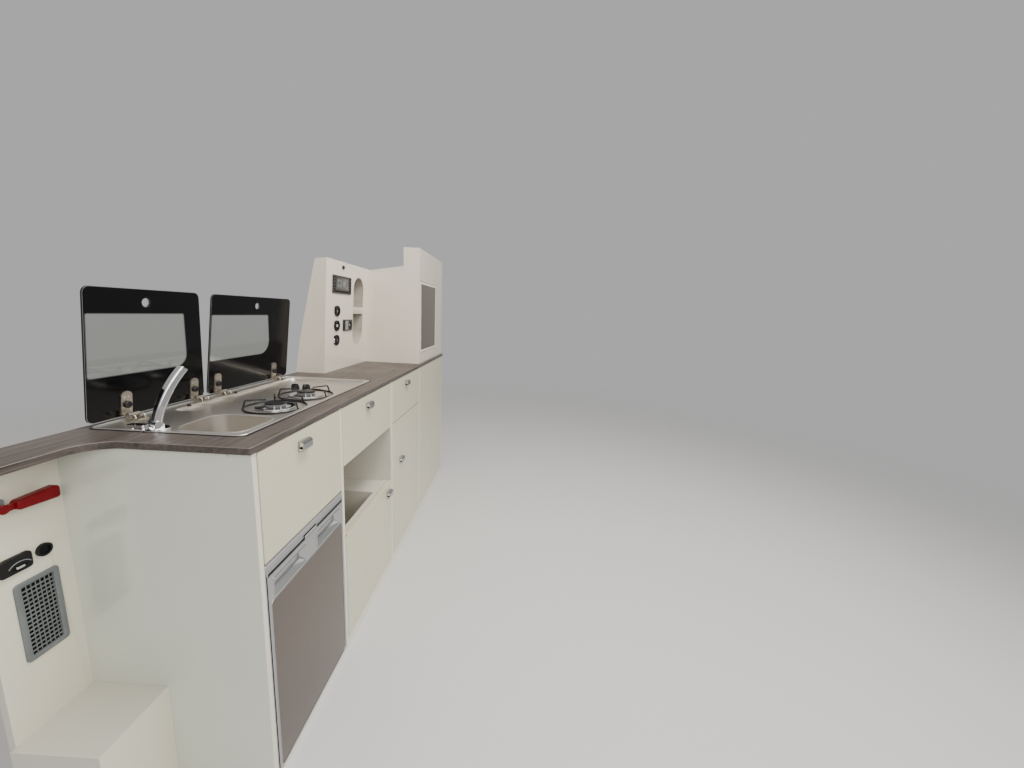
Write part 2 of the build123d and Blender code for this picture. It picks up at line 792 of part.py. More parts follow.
def lids():
    feet = []
    # Columns: number, left edge, width, taper of the near and the far side, the hole's distance from
    # the left edge, the straps' distances from the near and the far edge
    table = (
        (1, lid_1_x0, lid_1_w, 0, lid_1_taper, lid_1_hole, strap_1_near, strap_1_far),
        (2, lid_2_x0, lid_2_w, lid_2_taper, 0, lid_2_hole, strap_2_near, strap_2_far),
    )
    for number, x0, w, near_taper, far_taper, hole, near, far in table:
        places = (x0 + near, x0 + w - far)
        nodes[f"lid_{number}_glass"] = open_lid(lid_glass(x0, w, near_taper, far_taper, hole))
        nodes[f"lid_{number}_straps"] = group([open_lid(strap(x)) for x in places])
        feet += [hinge_foot(x) for x in places]
    nodes["hinge_feet"] = group(feet)


# Tap
def tap():
    place = Pos(tap_x, tap_y, 0) * Rot(0, 0, tap_turn_deg)
    chord = hypot(tap_reach, tap_rise)
    middle_r = tap_reach / 2 - tap_bulge * tap_rise / chord
    middle_z = tap_axis_z + tap_rise / 2 + tap_bulge * tap_reach / chord
    line = ThreePointArc((0, 0, tap_axis_z), (middle_r, 0, middle_z), (tap_reach, 0, tap_axis_z + tap_rise))
    section = Plane(origin=line @ 0, x_dir=(0, 1, 0), z_dir=line % 0)
    spout = sweep(section * RectangleRounded(tap_w, tap_t, tap_corner_r), path=line)
    half = tap_w / 2
    spout += crosswise(0, tap_axis_z, -half, half, tap_ear_r)
    spout -= crosswise(0, tap_axis_z, -half - tap_ear_gap, half + tap_ear_gap, tap_pin_r + hinge_clear)
    nodes["tap_spout"] = place * spout

    base = upright(0, 0, deck_t, deck_t + tap_flange_t, tap_flange_r)
    room = tap_ear_gap / 2
    base -= crosswise(0, tap_axis_z, -half - room, half + room, tap_ear_r + tap_ear_gap)
    for y0 in (-half - tap_ear_gap - tap_ear_t, half + tap_ear_gap):
        ear_y = (y0, y0 + tap_ear_t)
        base += crosswise(0, tap_axis_z, *ear_y, tap_ear_r)
        base += slab((-tap_ear_r, tap_ear_r), ear_y, (deck_t, tap_axis_z))
    base += crosswise(0, tap_axis_z, -half - tap_ear_gap, half + tap_ear_gap, tap_pin_r)
    nodes["tap_base"] = place * base

    lever_y = tap_y + tap_flange_r + seat_gap
    lever_z = deck_t + lever_lift
    lever_x = (tap_x - lever_w / 2, tap_x + lever_w / 2)
    lever = slab(lever_x, (lever_y, lever_y + lever_len), (lever_z, lever_z + lever_t))
    lever = fillet(lever.edges().filter_by(Axis.Z), lever_corner_r)
    post = upright(tap_x, lever_y + lever_len - lever_post_in, deck_t, lever_z, lever_post_r)
    nodes["tap_lever"] = lever + post


# Control tower
def tower_plane(x, height):
    """A plane on the leaning face, its x along the unit and its y up the slope."""
    origin = (x, tower_foot_y - tower_lean * height / tower_face_h, height)
    return Plane(origin=origin, x_dir=(1, 0, 0), z_dir=(0, -cos(tower_lean_rad), -sin(tower_lean_rad)))


def niche_outline(grow):
    tall = niche_high - niche_low
    return Rot(0, 0, 90) * SlotOverall(tall + 2 * grow, niche_w + 2 * grow)


def tower_shell(niche_plane):
    outline = (
        (tower_foot_y, 0), (tower_foot_y - tower_lean, tower_face_h), (tower_top_back_y, tower_top_back_z),
        (wall_knee_y, wall_knee_z), (wall_foot_y, 0),
    )
    t = board_t
    hollow = (
        (tower_foot_y + t, 0), (tower_foot_y + t - tower_lean, tower_face_h - t),
        (wall_foot_y, tower_top_back_z - t), (wall_foot_y, 0),
    )
    shell = side_profile(outline, tower_x0, wardrobe_x0)
    shell -= side_profile(hollow, tower_x0 + t, wardrobe_x0)
    through = t + seat_cut
    shell -= extrude(niche_plane * niche_outline(0), amount=through, both=True)
    seat = tower_plane(display_x, display_up) * Rectangle(display_w, display_tall)
    shell -= extrude(seat, -(display_t - display_proud))
    hole_r = socket_bore_r + socket_wall + display_edge
    for up in socket_ups:
        shell -= extrude(tower_plane(socket_x, up) * Circle(hole_r), -through)
    twin_hole = Rectangle(twin_w - 2 * twin_rim, twin_tall - 2 * twin_rim)
    shell -= extrude(tower_plane(twin_x, socket_ups[1]) * twin_hole, -through)
    button_hole = Circle(button_stem_r + display_edge)
    return shell - extrude(tower_plane(button_x, button_up) * button_hole, -through)


def tower():
    niche_plane = tower_plane(niche_x, (niche_low + niche_high) / 2)
    nodes["tower_shell"] = tower_shell(niche_plane)

    liner = extrude(niche_plane * niche_outline(-seat_gap), -niche_depth)
    liner -= extrude(niche_plane * niche_outline(-niche_liner_t), -(niche_depth - niche_liner_t))
    shelf_w = niche_w - 2 * niche_shelf_side
    lip = tower_plane(niche_x, niche_shelf_h + niche_lip_h / 2) * Rectangle(shelf_w, niche_lip_h)
    floor = tower_plane(niche_x, niche_shelf_h + niche_shelf_t / 2) * Rectangle(shelf_w, niche_shelf_t)
    shelf_depth = niche_depth - niche_liner_t / 2
    nodes["tower_niche"] = liner + extrude(lip, -niche_shelf_t) + extrude(floor, -shelf_depth)

    face = tower_plane(display_x, display_up)
    screen_w = display_w - 2 * display_edge
    screen_h = display_tall - 2 * display_edge
    screen = extrude(face * RectangleRounded(screen_w, screen_h, display_corner_r), display_proud)
    screen += extrude(face * Rectangle(screen_w, screen_h), -(display_t - display_proud) + seat_gap)
    nodes["display_panel"] = screen

    sockets = []
    for up in socket_ups:
        face = tower_plane(socket_x, up)
        ring = extrude(face * Circle(socket_r), socket_proud)
        ring += extrude(face * Circle(socket_bore_r + socket_wall), -board_t)
        ring -= extrude(face * Circle(socket_bore_r), amount=board_t - socket_floor_t, both=True)
        sockets.append(ring)
    nodes["round_sockets"] = group(sockets)

    face = tower_plane(twin_x, socket_ups[1])
    body_w = twin_w - 2 * twin_rim - 2 * display_edge
    body_h = twin_tall - 2 * twin_rim - 2 * display_edge
    twin = extrude(face * RectangleRounded(twin_w, twin_tall, twin_corner_r), twin_proud)
    twin += extrude(face * Rectangle(body_w, body_h), -board_t)
    for side in (-1, 1):
        bore = face * Pos(side * twin_w / 4, 0) * Circle(twin_bore_r)
        twin -= extrude(bore, amount=board_t - socket_floor_t, both=True)
    nodes["twin_socket"] = twin

    face = tower_plane(button_x, button_up)
    nodes["tower_button"] = extrude(face * Circle(button_r), button_proud)
    nodes["tower_button"] += extrude(face * Circle(button_stem_r), -board_t)


# Wardrobe
def wardrobe():
    outline = (
        (wardrobe_front_y, 0), (wardrobe_front_y, wardrobe_top_z), (wardrobe_step_y, wardrobe_top_z),
        (wardrobe_step_y, wardrobe_step_z), (wardrobe_knee_y, wardrobe_knee_z),
        (tower_top_back_y, tower_top_back_z), (wall_knee_y, wall_knee_z), (wall_foot_y, 0),
    )
    inner_x = (wardrobe_x0 + board_t, worktop_len - board_t)
    sides = [side_profile(outline, wardrobe_x0, inner_x[0]), side_profile(outline, inner_x[1], worktop_len)]
    nodes["wardrobe_sides"] = group(sides)
    t = wardrobe_top_t
    face_y_range = (wardrobe_front_y, wardrobe_front_y + board_t)
    band = (
        (face_y_range[1], wardrobe_top_z), (wardrobe_step_y, wardrobe_top_z),
        (wardrobe_step_y, wardrobe_step_z), (wardrobe_knee_y, wardrobe_knee_z),
        (tower_top_back_y, tower_top_back_z), (tower_top_back_y, tower_top_back_z - t),
        (wardrobe_knee_y, wardrobe_knee_z - t), (wardrobe_step_y - t, wardrobe_step_z - t),
        (wardrobe_step_y - t, wardrobe_top_z - t), (face_y_range[1], wardrobe_top_z - t),
    )
    nodes["wardrobe_top"] = side_profile(band, *inner_x)
    face = slab(inner_x, face_y_range, (0, wardrobe_top_z))
    doorway_x = (inner_x[0], wardrobe_door_x1)
    nodes["wardrobe_face"] = face - slab(doorway_x, face_y_range, (wardrobe_door_low, wardrobe_door_high))

    door_front = wardrobe_front_y - front_proud
    door_x = (inner_x[0] + front_gap, wardrobe_door_x1 - front_gap)
    door_z = (wardrobe_door_low + front_gap, wardrobe_door_high - front_gap)
    w = wardrobe_frame_w
    mirror_x = (door_x[0] + w, door_x[1] - w)
    mirror_z = (door_z[0] + w, door_z[1] - w)
    mirror_back = door_front + mirror_t
    door = slab(door_x, (door_front, door_front + wardrobe_door_t), door_z)
    nodes["wardrobe_door"] = door - slab(mirror_x, (door_front, mirror_back), mirror_z)
    nodes["wardrobe_mirror"] = slab(mirror_x, (door_front + mirror_set_in, mirror_back), mirror_z)


# Front extension
def vent_grille(plane):
    """A framed grille with rows of short slots."""
    pitch_x = (vent_w - 2 * vent_border) / vent_columns
    pitch_z = (vent_h - 2 * vent_border) / vent_rows
    slots = Sketch()
    for row in range(vent_rows):
        for column in range(vent_columns):
            x = (column - (vent_columns - 1) / 2) * pitch_x
            z = (row - (vent_rows - 1) / 2) * pitch_z
            slots += Pos(x, z) * Rectangle(pitch_x - vent_rib, vent_slot_h)
    place = plane * Pos(vent_x, vent_z)
    frame = extrude(place * RectangleRounded(vent_w, vent_h, vent_corner_r), vent_t)
    return frame - extrude(place * slots, vent_t)


def red_handle(panel_y):
    """A grip that draws in towards its neck, on a round boss."""
    back = panel_y - handle_stand_off
    points = (
        (handle_x0, handle_z - handle_root_h / 2), (handle_x1, handle_z - handle_h / 2),
        (handle_x1, handle_z + handle_h / 2), (handle_x0, handle_z + handle_root_h / 2),
    )
    outline = make_face(Polyline(*points, close=True))
    outline = fillet(outline.vertices(), handle_corner_r)
    grip = extrude(on_front(back) * outline, handle_t)
    rims = grip.edges().group_by(Axis.Y)
    grip = fillet(rims[0] + rims[-1], handle_edge_r)
    boss_x = handle_x0 - handle_neck_len
    neck_y = (back - handle_t / 2 - handle_neck_t / 2, back - handle_t / 2 + handle_neck_t / 2)
    neck_z = (handle_z - handle_neck_h / 2, handle_z + handle_neck_h / 2)
    return grip + slab((boss_x, handle_x0), neck_y, neck_z) + crosswise(
        boss_x, handle_z, neck_y[0], panel_y, handle_boss_r
    )


def extension():
    y0 = carcass_back_y
    y1 = worktop_depth
    panel = slab((panel_x0, column_1_x0), (y0, y1), (floor_z, under_top))
    half_w = vent_w / 2 - vent_border
    half_h = vent_h / 2 - vent_border
    panel -= slab((vent_x - half_w, vent_x + half_w), (y0, y1), (vent_z - half_h, vent_z + half_h))
    panel -= crosswise(outlet_x, outlet_z, y0, y1, outlet_r - outlet_wall)
    nodes["extension_panel"] = panel
    plane = on_front(y0)
    nodes["vent_grille"] = vent_grille(plane)
    place = plane * Pos(outlet_x, outlet_z)
    outlet = extrude(place * Circle(outlet_r), outlet_proud)
    nodes["round_outlet"] = outlet - extrude(place * Circle(outlet_r - outlet_wall), outlet_proud)
    inlet = plane * Pos(inlet_x, inlet_z) * RectangleRounded(inlet_w, inlet_h, inlet_corner_r)
    inlet = extrude(inlet, inlet_t)
    nodes["power_inlet"] = fillet(inlet.edges().group_by(Axis.Y)[0], inlet_edge_r)
    nodes["red_handle"] = red_handle(y0)
    box_top = -box_top_drop
    box_y = (y0 - box_depth, y0)
    inner = slab((box_x0 + board_t, end_inset), (box_y[0] + board_t, y0), (floor_z, box_top - board_t))
    nodes["low_box"] = slab((box_x0, end_inset), box_y, (floor_z, box_top)) - inner


def main():
    carcass()
    fronts()
    fridge()
    sink_and_hob()
    lids()
    tap()
    tower()
    wardrobe()
    pivots()
    extension()
    box = Compound(children=[s for shape in nodes.values() for s in shape.solids()]).bounding_box()
    shift = Vector(-(box.min.X + box.max.X) / 2, -(box.min.Y + box.max.Y) / 2, -box.min.Z)
    print("shift from the datum", shift.X, shift.Y, shift.Z)
    os.makedirs("parts", exist_ok=True)
    for name, shape in nodes.items():
        export_step(Pos(shift) * shape, f"parts/{name}.step")


main()
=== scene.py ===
import json
from math import atan2, cos, pi, radians, sin, tan, tau

import bmesh
import bpy
from bpy.props import FloatProperty, FloatVectorProperty, PointerProperty
from mathutils import Matrix, Vector


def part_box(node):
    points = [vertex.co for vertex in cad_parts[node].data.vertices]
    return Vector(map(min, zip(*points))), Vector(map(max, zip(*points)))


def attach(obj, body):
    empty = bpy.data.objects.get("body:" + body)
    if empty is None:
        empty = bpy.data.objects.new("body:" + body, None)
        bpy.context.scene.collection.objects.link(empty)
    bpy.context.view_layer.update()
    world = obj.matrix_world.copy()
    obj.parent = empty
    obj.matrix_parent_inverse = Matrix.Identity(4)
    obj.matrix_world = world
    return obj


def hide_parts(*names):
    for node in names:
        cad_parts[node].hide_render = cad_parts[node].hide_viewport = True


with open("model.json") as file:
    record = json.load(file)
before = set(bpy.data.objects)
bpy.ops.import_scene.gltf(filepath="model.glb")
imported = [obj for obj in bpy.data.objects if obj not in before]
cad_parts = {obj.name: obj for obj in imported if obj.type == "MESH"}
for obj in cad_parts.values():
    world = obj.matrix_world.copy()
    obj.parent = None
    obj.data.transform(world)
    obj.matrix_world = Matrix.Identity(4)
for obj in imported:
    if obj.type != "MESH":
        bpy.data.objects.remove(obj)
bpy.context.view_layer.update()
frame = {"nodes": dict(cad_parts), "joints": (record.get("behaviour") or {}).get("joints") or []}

bl_info = {
    "name": "Camper van side kitchen unit",
    "version": (1, 0, 0),
    "blender": (4, 5, 0),
    "location": "3D View > Sidebar > Kitchen unit",
    "description": "Finishes and fine pieces of a fitted side kitchen unit, round its fixed frame",
    "category": "Add Mesh",
}

MM = 0.001
ALONG = Vector((1, 0, 0))
ACROSS = Vector((0, 1, 0))
UP = Vector((0, 0, 1))

# The datum is the worktop's near front top corner, a little past the end panel
OVERHANG = 8 * MM
DATUM = Vector((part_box("end_panel")[0].x - OVERHANG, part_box("worktop")[0].y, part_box("worktop")[1].z))


# Settings
def length(name, text, default):
    return FloatProperty(name=name, description=text, default=default, unit="LENGTH", precision=4)


def amount(name, text, default, subtype="NONE"):
    return FloatProperty(name=name, description=text, default=default, subtype=subtype)


def tint(name, text, default):
    return FloatVectorProperty(
        name=name, description=text, default=default, subtype="COLOR", size=3, min=0.0, max=1.0
    )


class KitchenSizes(bpy.types.PropertyGroup):
    board_bevel: length("Board bevel", "Softened arris of the cut boards", 0.0006)
    seal_width: length("Seal width", "Black sealing line round the sink and hob plate", 0.0048)
    bead_width: length("Bead width", "Pressed bead round the plate", 0.005)
    print_low: length("Low print", "Height of the printed band above the lids' hinges", 0.100)
    print_edge: length("Edge print", "Width of the printed line down the lids' near edge", 0.003)
    print_thickness: length("Print thickness", "Thickness of the printed layer", 0.00015)
    lock_core_inset: length("Lock core inset", "How far the bright plug lies inside a push lock", 0.0025)
    lock_core_end: length("Lock core end", "Depth of a push lock's hollow end", 0.0136)
    gasket_width: length("Gasket width", "Width of the fridge door's seal", 0.016)


class KitchenColours(bpy.types.PropertyGroup):
    board: tint("Boards", "Cream laminated board", (0.58, 0.56, 0.48))
    end_board: tint("End panel", "Cream gloss board with a green tinge", (0.63, 0.655, 0.565))
    board_edge: tint("Edge bands", "Edge band of the cream boards", (0.72, 0.685, 0.555))
    front: tint("Fronts", "Pale grey green gloss board", (0.60, 0.565, 0.405))
    tower: tint("Tower", "Cream satin board over the worktop", (0.67, 0.605, 0.51))
    laminate_dark: tint("Laminate, dark", "Dark streaks of the worktop", (0.022, 0.0182, 0.0160))
    laminate_light: tint("Laminate, light", "Light streaks of the worktop", (0.136, 0.112, 0.099))
    ply: tint("Plywood", "Bare back board", (0.42, 0.30, 0.18))
    stainless: tint("Stainless steel", "Sink and hob plate", (0.74, 0.70, 0.645))
    strap: tint("Hinge steel", "Straps and hinge feet of the lids", (0.44, 0.40, 0.34))
    chrome: tint("Chrome", "Tap, locks and waste", (0.86, 0.87, 0.89))
    silver: tint("Silver", "Fridge frame and door band", (0.44, 0.445, 0.45))
    fridge_panel: tint("Fridge panel", "Dark mirror panel of the fridge door", (0.17, 0.145, 0.13))
    black: tint("Black plastic", "Sockets, knobs and seals", (0.009, 0.009, 0.010))
    red: tint("Red plastic", "Grip on the front extension", (0.165, 0.001, 0.005))
    grille: tint("Grille", "Grey moulded vent grille", (0.150, 0.165, 0.166))
    glass: tint("Glass", "Faintly tinted toughened glass of the lids", (0.82, 0.86, 0.82))
    mirror: tint("Mirror", "Bronze tinted mirror", (0.38, 0.31, 0.245))


class KitchenStage(bpy.types.PropertyGroup):
    floor: tint("Floor", "Plain pale floor", (0.62, 0.615, 0.61))
    floor_radius: length("Floor radius", "Where the floor starts to fade into the surroundings", 2.0)
    floor_fade: length("Floor fade", "Where the floor has faded out", 6.0)
    backdrop: tint("Backdrop", "Pale surroundings that the camera sees", (0.46, 0.46, 0.46))
    sky_low: amount("Sky, low", "Brightness of the surroundings below", 0.34)
    sky_high: amount("Sky, high", "Brightness of the surroundings above", 0.66)
    camera_x: length("Camera, along", "From the datum along the unit", -0.7721)
    camera_y: length("Camera, across", "From the datum across the unit", -0.5589)
    camera_z: length("Camera, up", "Height over the worktop", 0.305)
    camera_yaw: amount("Yaw", "Turn to the left of the unit's length", radians(0.871), "ANGLE")
    camera_pitch: amount("Pitch", "Tilt below level", radians(10.164), "ANGLE")
    camera_roll: amount("Roll", "Turn about the line of sight", radians(-2.734), "ANGLE")
    camera_lens: amount("Lens", "Focal length in millimetres", 13.67)
    key_power: amount("Key light", "Power in watts", 76.0)
    side_power: amount("Side light", "Power in watts", 38.0)
    top_power: amount("Top light", "Power in watts", 58.0)


# Node groups
def group_tree(name, output, **inputs):
    """A shader node group with float or vector inputs and one float output."""
    tree = bpy.data.node_groups.new(name, "ShaderNodeTree")
    for label, default in inputs.items():
        kind = "NodeSocketVector" if isinstance(default, tuple) else "NodeSocketFloat"
        socket = tree.interface.new_socket(label, in_out="INPUT", socket_type=kind)
        socket.default_value = default
    tree.interface.new_socket(output, in_out="OUTPUT", socket_type="NodeSocketFloat")
    source = tree.nodes.new("NodeGroupInput")
    sink = tree.nodes.new("NodeGroupOutput")
    return tree, source.outputs, sink.inputs[output]


def node(tree, kind, inputs=None, **settings):
    """Add a node, set its options, then set its inputs or link them to a socket or a node's first output."""
    made = tree.nodes.new(kind)
    for key, value in settings.items():
        setattr(made, key, value)
    for key, value in (inputs or {}).items():
        if isinstance(value, bpy.types.Node):
            value = value.outputs[0]
        if isinstance(value, bpy.types.NodeSocket):
            tree.links.new(value, made.inputs[key])
        else:
            made.inputs[key].default_value = value
    return made


def streaks_group():
    """Long irregular streaks, for laminate grain and brushed metal."""
    tree, given, result = group_tree("Streaks", "Mask", Stretch=(1.0, 1.0, 1.0), Contrast=1.0)
    place = node(tree, "ShaderNodeTexCoord").outputs["Object"]
    wide = node(tree, "ShaderNodeMapping", {"Vector": place, "Scale": given["Stretch"]})
    coarse = node(
        tree, "ShaderNodeTexNoise",
        {"Vector": wide, "Scale": 1.0, "Detail": 5.0, "Roughness": 0.62, "Distortion": 0.4},
    )
    fine = node(tree, "ShaderNodeTexNoise", {"Vector": wide, "Scale": 4.3, "Detail": 3.0, "Roughness": 0.55})
    both = node(tree, "ShaderNodeMix", {"Factor": 0.45, "A": coarse, "B": fine})
    centred = node(tree, "ShaderNodeMath", {0: both, 1: 0.5}, operation="SUBTRACT")
    spread = node(
        tree, "ShaderNodeMath", {0: centred, 1: given["Contrast"], 2: 0.5},
        operation="MULTIPLY_ADD", use_clamp=True,
    )
    tree.links.new(spread.outputs[0], result)
    return tree


def cloud_group():
    """A soft cloud that runs from a low to a high value, for smears and hand marks."""
    tree, given, result = group_tree("Cloud", "Value", Scale=5.0, Low=0.0, High=1.0)
    place = node(tree, "ShaderNodeTexCoord").outputs["Object"]
    noise = node(
        tree, "ShaderNodeTexNoise",
        {"Vector": place, "Scale": given["Scale"], "Detail": 6.0, "Roughness": 0.6},
    )
    spread = node(
        tree, "ShaderNodeMapRange",
        {"Value": noise, "From Min": 0.32, "From Max": 0.68, "To Min": given["Low"],
         "To Max": given["High"]},
    )
    tree.links.new(spread.outputs[0], result)
    return tree


def facing_group():
    """A mask of the faces that point along an axis, either way."""
    tree, given, result = group_tree("Facing", "Mask", Axis=(0.0, 1.0, 0.0), From=0.8, To=0.9)
    normal = node(tree, "ShaderNodeTexCoord").outputs["Normal"]
    dot = node(tree, "ShaderNodeVectorMath", {0: normal, 1: given["Axis"]}, operation="DOT_PRODUCT")
    size = node(tree, "ShaderNodeMath", {0: dot.outputs["Value"]}, operation="ABSOLUTE")
    ends = {"Value": size, "From Min": given["From"], "From Max": given["To"]}
    mask = node(tree, "ShaderNodeMapRange", ends)
    tree.links.new(mask.outputs[0], result)
    return tree


def shared(tree, name, **values):
    """Place one of the shared groups in a material, building it the first time."""
    makers = {"Streaks": streaks_group, "Cloud": cloud_group, "Facing": facing_group}
    made = tree.nodes.new("ShaderNodeGroup")
    made.node_tree = bpy.data.node_groups.get(name) or makers[name]()
    for key, value in values.items():
        made.inputs[key].default_value = value
    return made.outputs[0]


def cloud(tree, scale, low=0.0, high=1.0):
    return shared(tree, "Cloud", Scale=scale, Low=low, High=high)


# Materials
def plain(name, roughness, metallic=0.0, **sockets):
    """A material with a Principled shader and values set on its own sockets."""
    material = bpy.data.materials.new(name)
    material.use_nodes = True
    shader = material.node_tree.nodes["Principled BSDF"]
    shader.inputs["Roughness"].default_value = roughness
    shader.inputs["Metallic"].default_value = metallic
    for key, value in sockets.items():
        shader.inputs[key.replace("_", " ")].default_value = value
    return material, material.node_tree, shader


def blend(tree, mask, first, second):
    """Two colours, each given as a colour or a socket, mixed by a mask."""
    values = [value if isinstance(value, bpy.types.NodeSocket) else (*value, 1) for value in (first, second)]
    mix = node(tree, "ShaderNodeMix", {"Factor": mask, "A": values[0], "B": values[1]}, data_type="RGBA")
    return mix.outputs[2]


def paint(tree, shader, mask, first, second):
    tree.links.new(blend(tree, mask, first, second), shader.inputs["Base Color"])


def relief(tree, shader, height, depth, strength):
    bump = node(tree, "ShaderNodeBump", {"Height": height, "Distance": depth, "Strength": strength})
    tree.links.new(bump.outputs[0], shader.inputs["Normal"])


def smeared(tree, shader, scale, low, high):
    tree.links.new(cloud(tree, scale, low, high), shader.inputs["Roughness"])


def shade(colour, factor):
    return tuple(min(channel * factor, 1.0) for channel in colour)


def board_material(name, colour, edge, low, high, axis, coat):
    """Laminated board with a lighter edge band, faint smears and a fine ripple."""
    material, tree, shader = plain(name, low, Coat_Weight=coat, Coat_Roughness=0.08)
    band = shared(tree, "Facing", Axis=axis, From=0.82, To=0.9)
    paint(tree, shader, band, blend(tree, cloud(tree, 2.2), shade(colour, 0.965), colour), edge)
    smeared(tree, shader, 7.0, low, high)
    relief(tree, shader, cloud(tree, 420.0), 0.00004, 0.5)
    return material


def laminate_material(dark, light):
    """Dark streaked laminate with grain along the unit, and a painted highlight: a pale line on its arris.
    """
    material, tree, shader = plain("Streaked laminate", 0.42, Specular_IOR_Level=0.3)
    streak = shared(tree, "Streaks", Stretch=(3.2, 95.0, 95.0), Contrast=3.6)
    patch = shared(tree, "Streaks", Stretch=(1.1, 14.0, 14.0), Contrast=2.8)
    both = node(tree, "ShaderNodeMix", {"Factor": 0.4, "A": streak, "B": patch})
    flat = shared(tree, "Facing", Axis=UP, From=0.12, To=0.4)
    level = shared(tree, "Facing", Axis=UP, From=0.85, To=0.97)
    arris = node(tree, "ShaderNodeMath", {0: flat, 1: level}, operation="SUBTRACT", use_clamp=True)
    # The rounded arris between top and front is painted lighter: a painted highlight
    paint(tree, shader, arris, blend(tree, both, dark, light), shade(light, 1.15))
    smeared(tree, shader, 5.0, 0.36, 0.5)
    relief(tree, shader, streak, 0.00012, 0.5)
    return material


def brushed_material(name, colour, roughness, stretch):
    """Brushed metal: faint streaks along one axis in tone, roughness and height."""
    material, tree, shader = plain(name, roughness, metallic=1.0)
    streak = shared(tree, "Streaks", Stretch=stretch, Contrast=1.2)
    paint(tree, shader, streak, shade(colour, 0.93), shade(colour, 1.05))
    spread = node(
        tree, "ShaderNodeMapRange", {"Value": streak, "To Min": roughness - 0.03, "To Max": roughness + 0.04}
    )
    tree.links.new(spread.outputs[0], shader.inputs["Roughness"])
    relief(tree, shader, streak, 0.000012, 0.3)
    return material


def polished_material(name, colour, low, high):
    material, tree, shader = plain(name, low, metallic=1.0)
    paint(tree, shader, cloud(tree, 30.0), shade(colour, 0.95), colour)
    smeared(tree, shader, 18.0, low, high)
    relief(tree, shader, cloud(tree, 160.0), 0.00001, 0.3)
    return material


def moulded_material(name, colour, low, high, grain, sheen):
    """Moulded plastic or enamel with a fine leathery grain; sheen is its specular level."""
    material, tree, shader = plain(name, low, Specular_IOR_Level=sheen)
    paint(tree, shader, cloud(tree, 12.0), shade(colour, 0.85), shade(colour, 1.1))
    smeared(tree, shader, 25.0, low, high)
    relief(tree, shader, cloud(tree, 900.0), grain * MM, 0.6)
    return material


def ply_material(colour):
    material, tree, shader = plain("Plywood", 0.6)
    streak = shared(tree, "Streaks", Stretch=(2.0, 40.0, 40.0), Contrast=2.0)
    paint(tree, shader, streak, shade(colour, 0.75), shade(colour, 1.2))
    smeared(tree, shader, 9.0, 0.5, 0.7)
    relief(tree, shader, streak, 0.0002, 0.7)
    return material


def glass_material(colour):
    material, tree, shader = plain("Toughened glass", 0.02, Transmission_Weight=1.0, IOR=1.5)
    shader.inputs["Base Color"].default_value = (*colour, 1)
    smeared(tree, shader, 9.0, 0.0, 0.035)
    relief(tree, shader, cloud(tree, 6.0), 0.00002, 0.2)
    return material


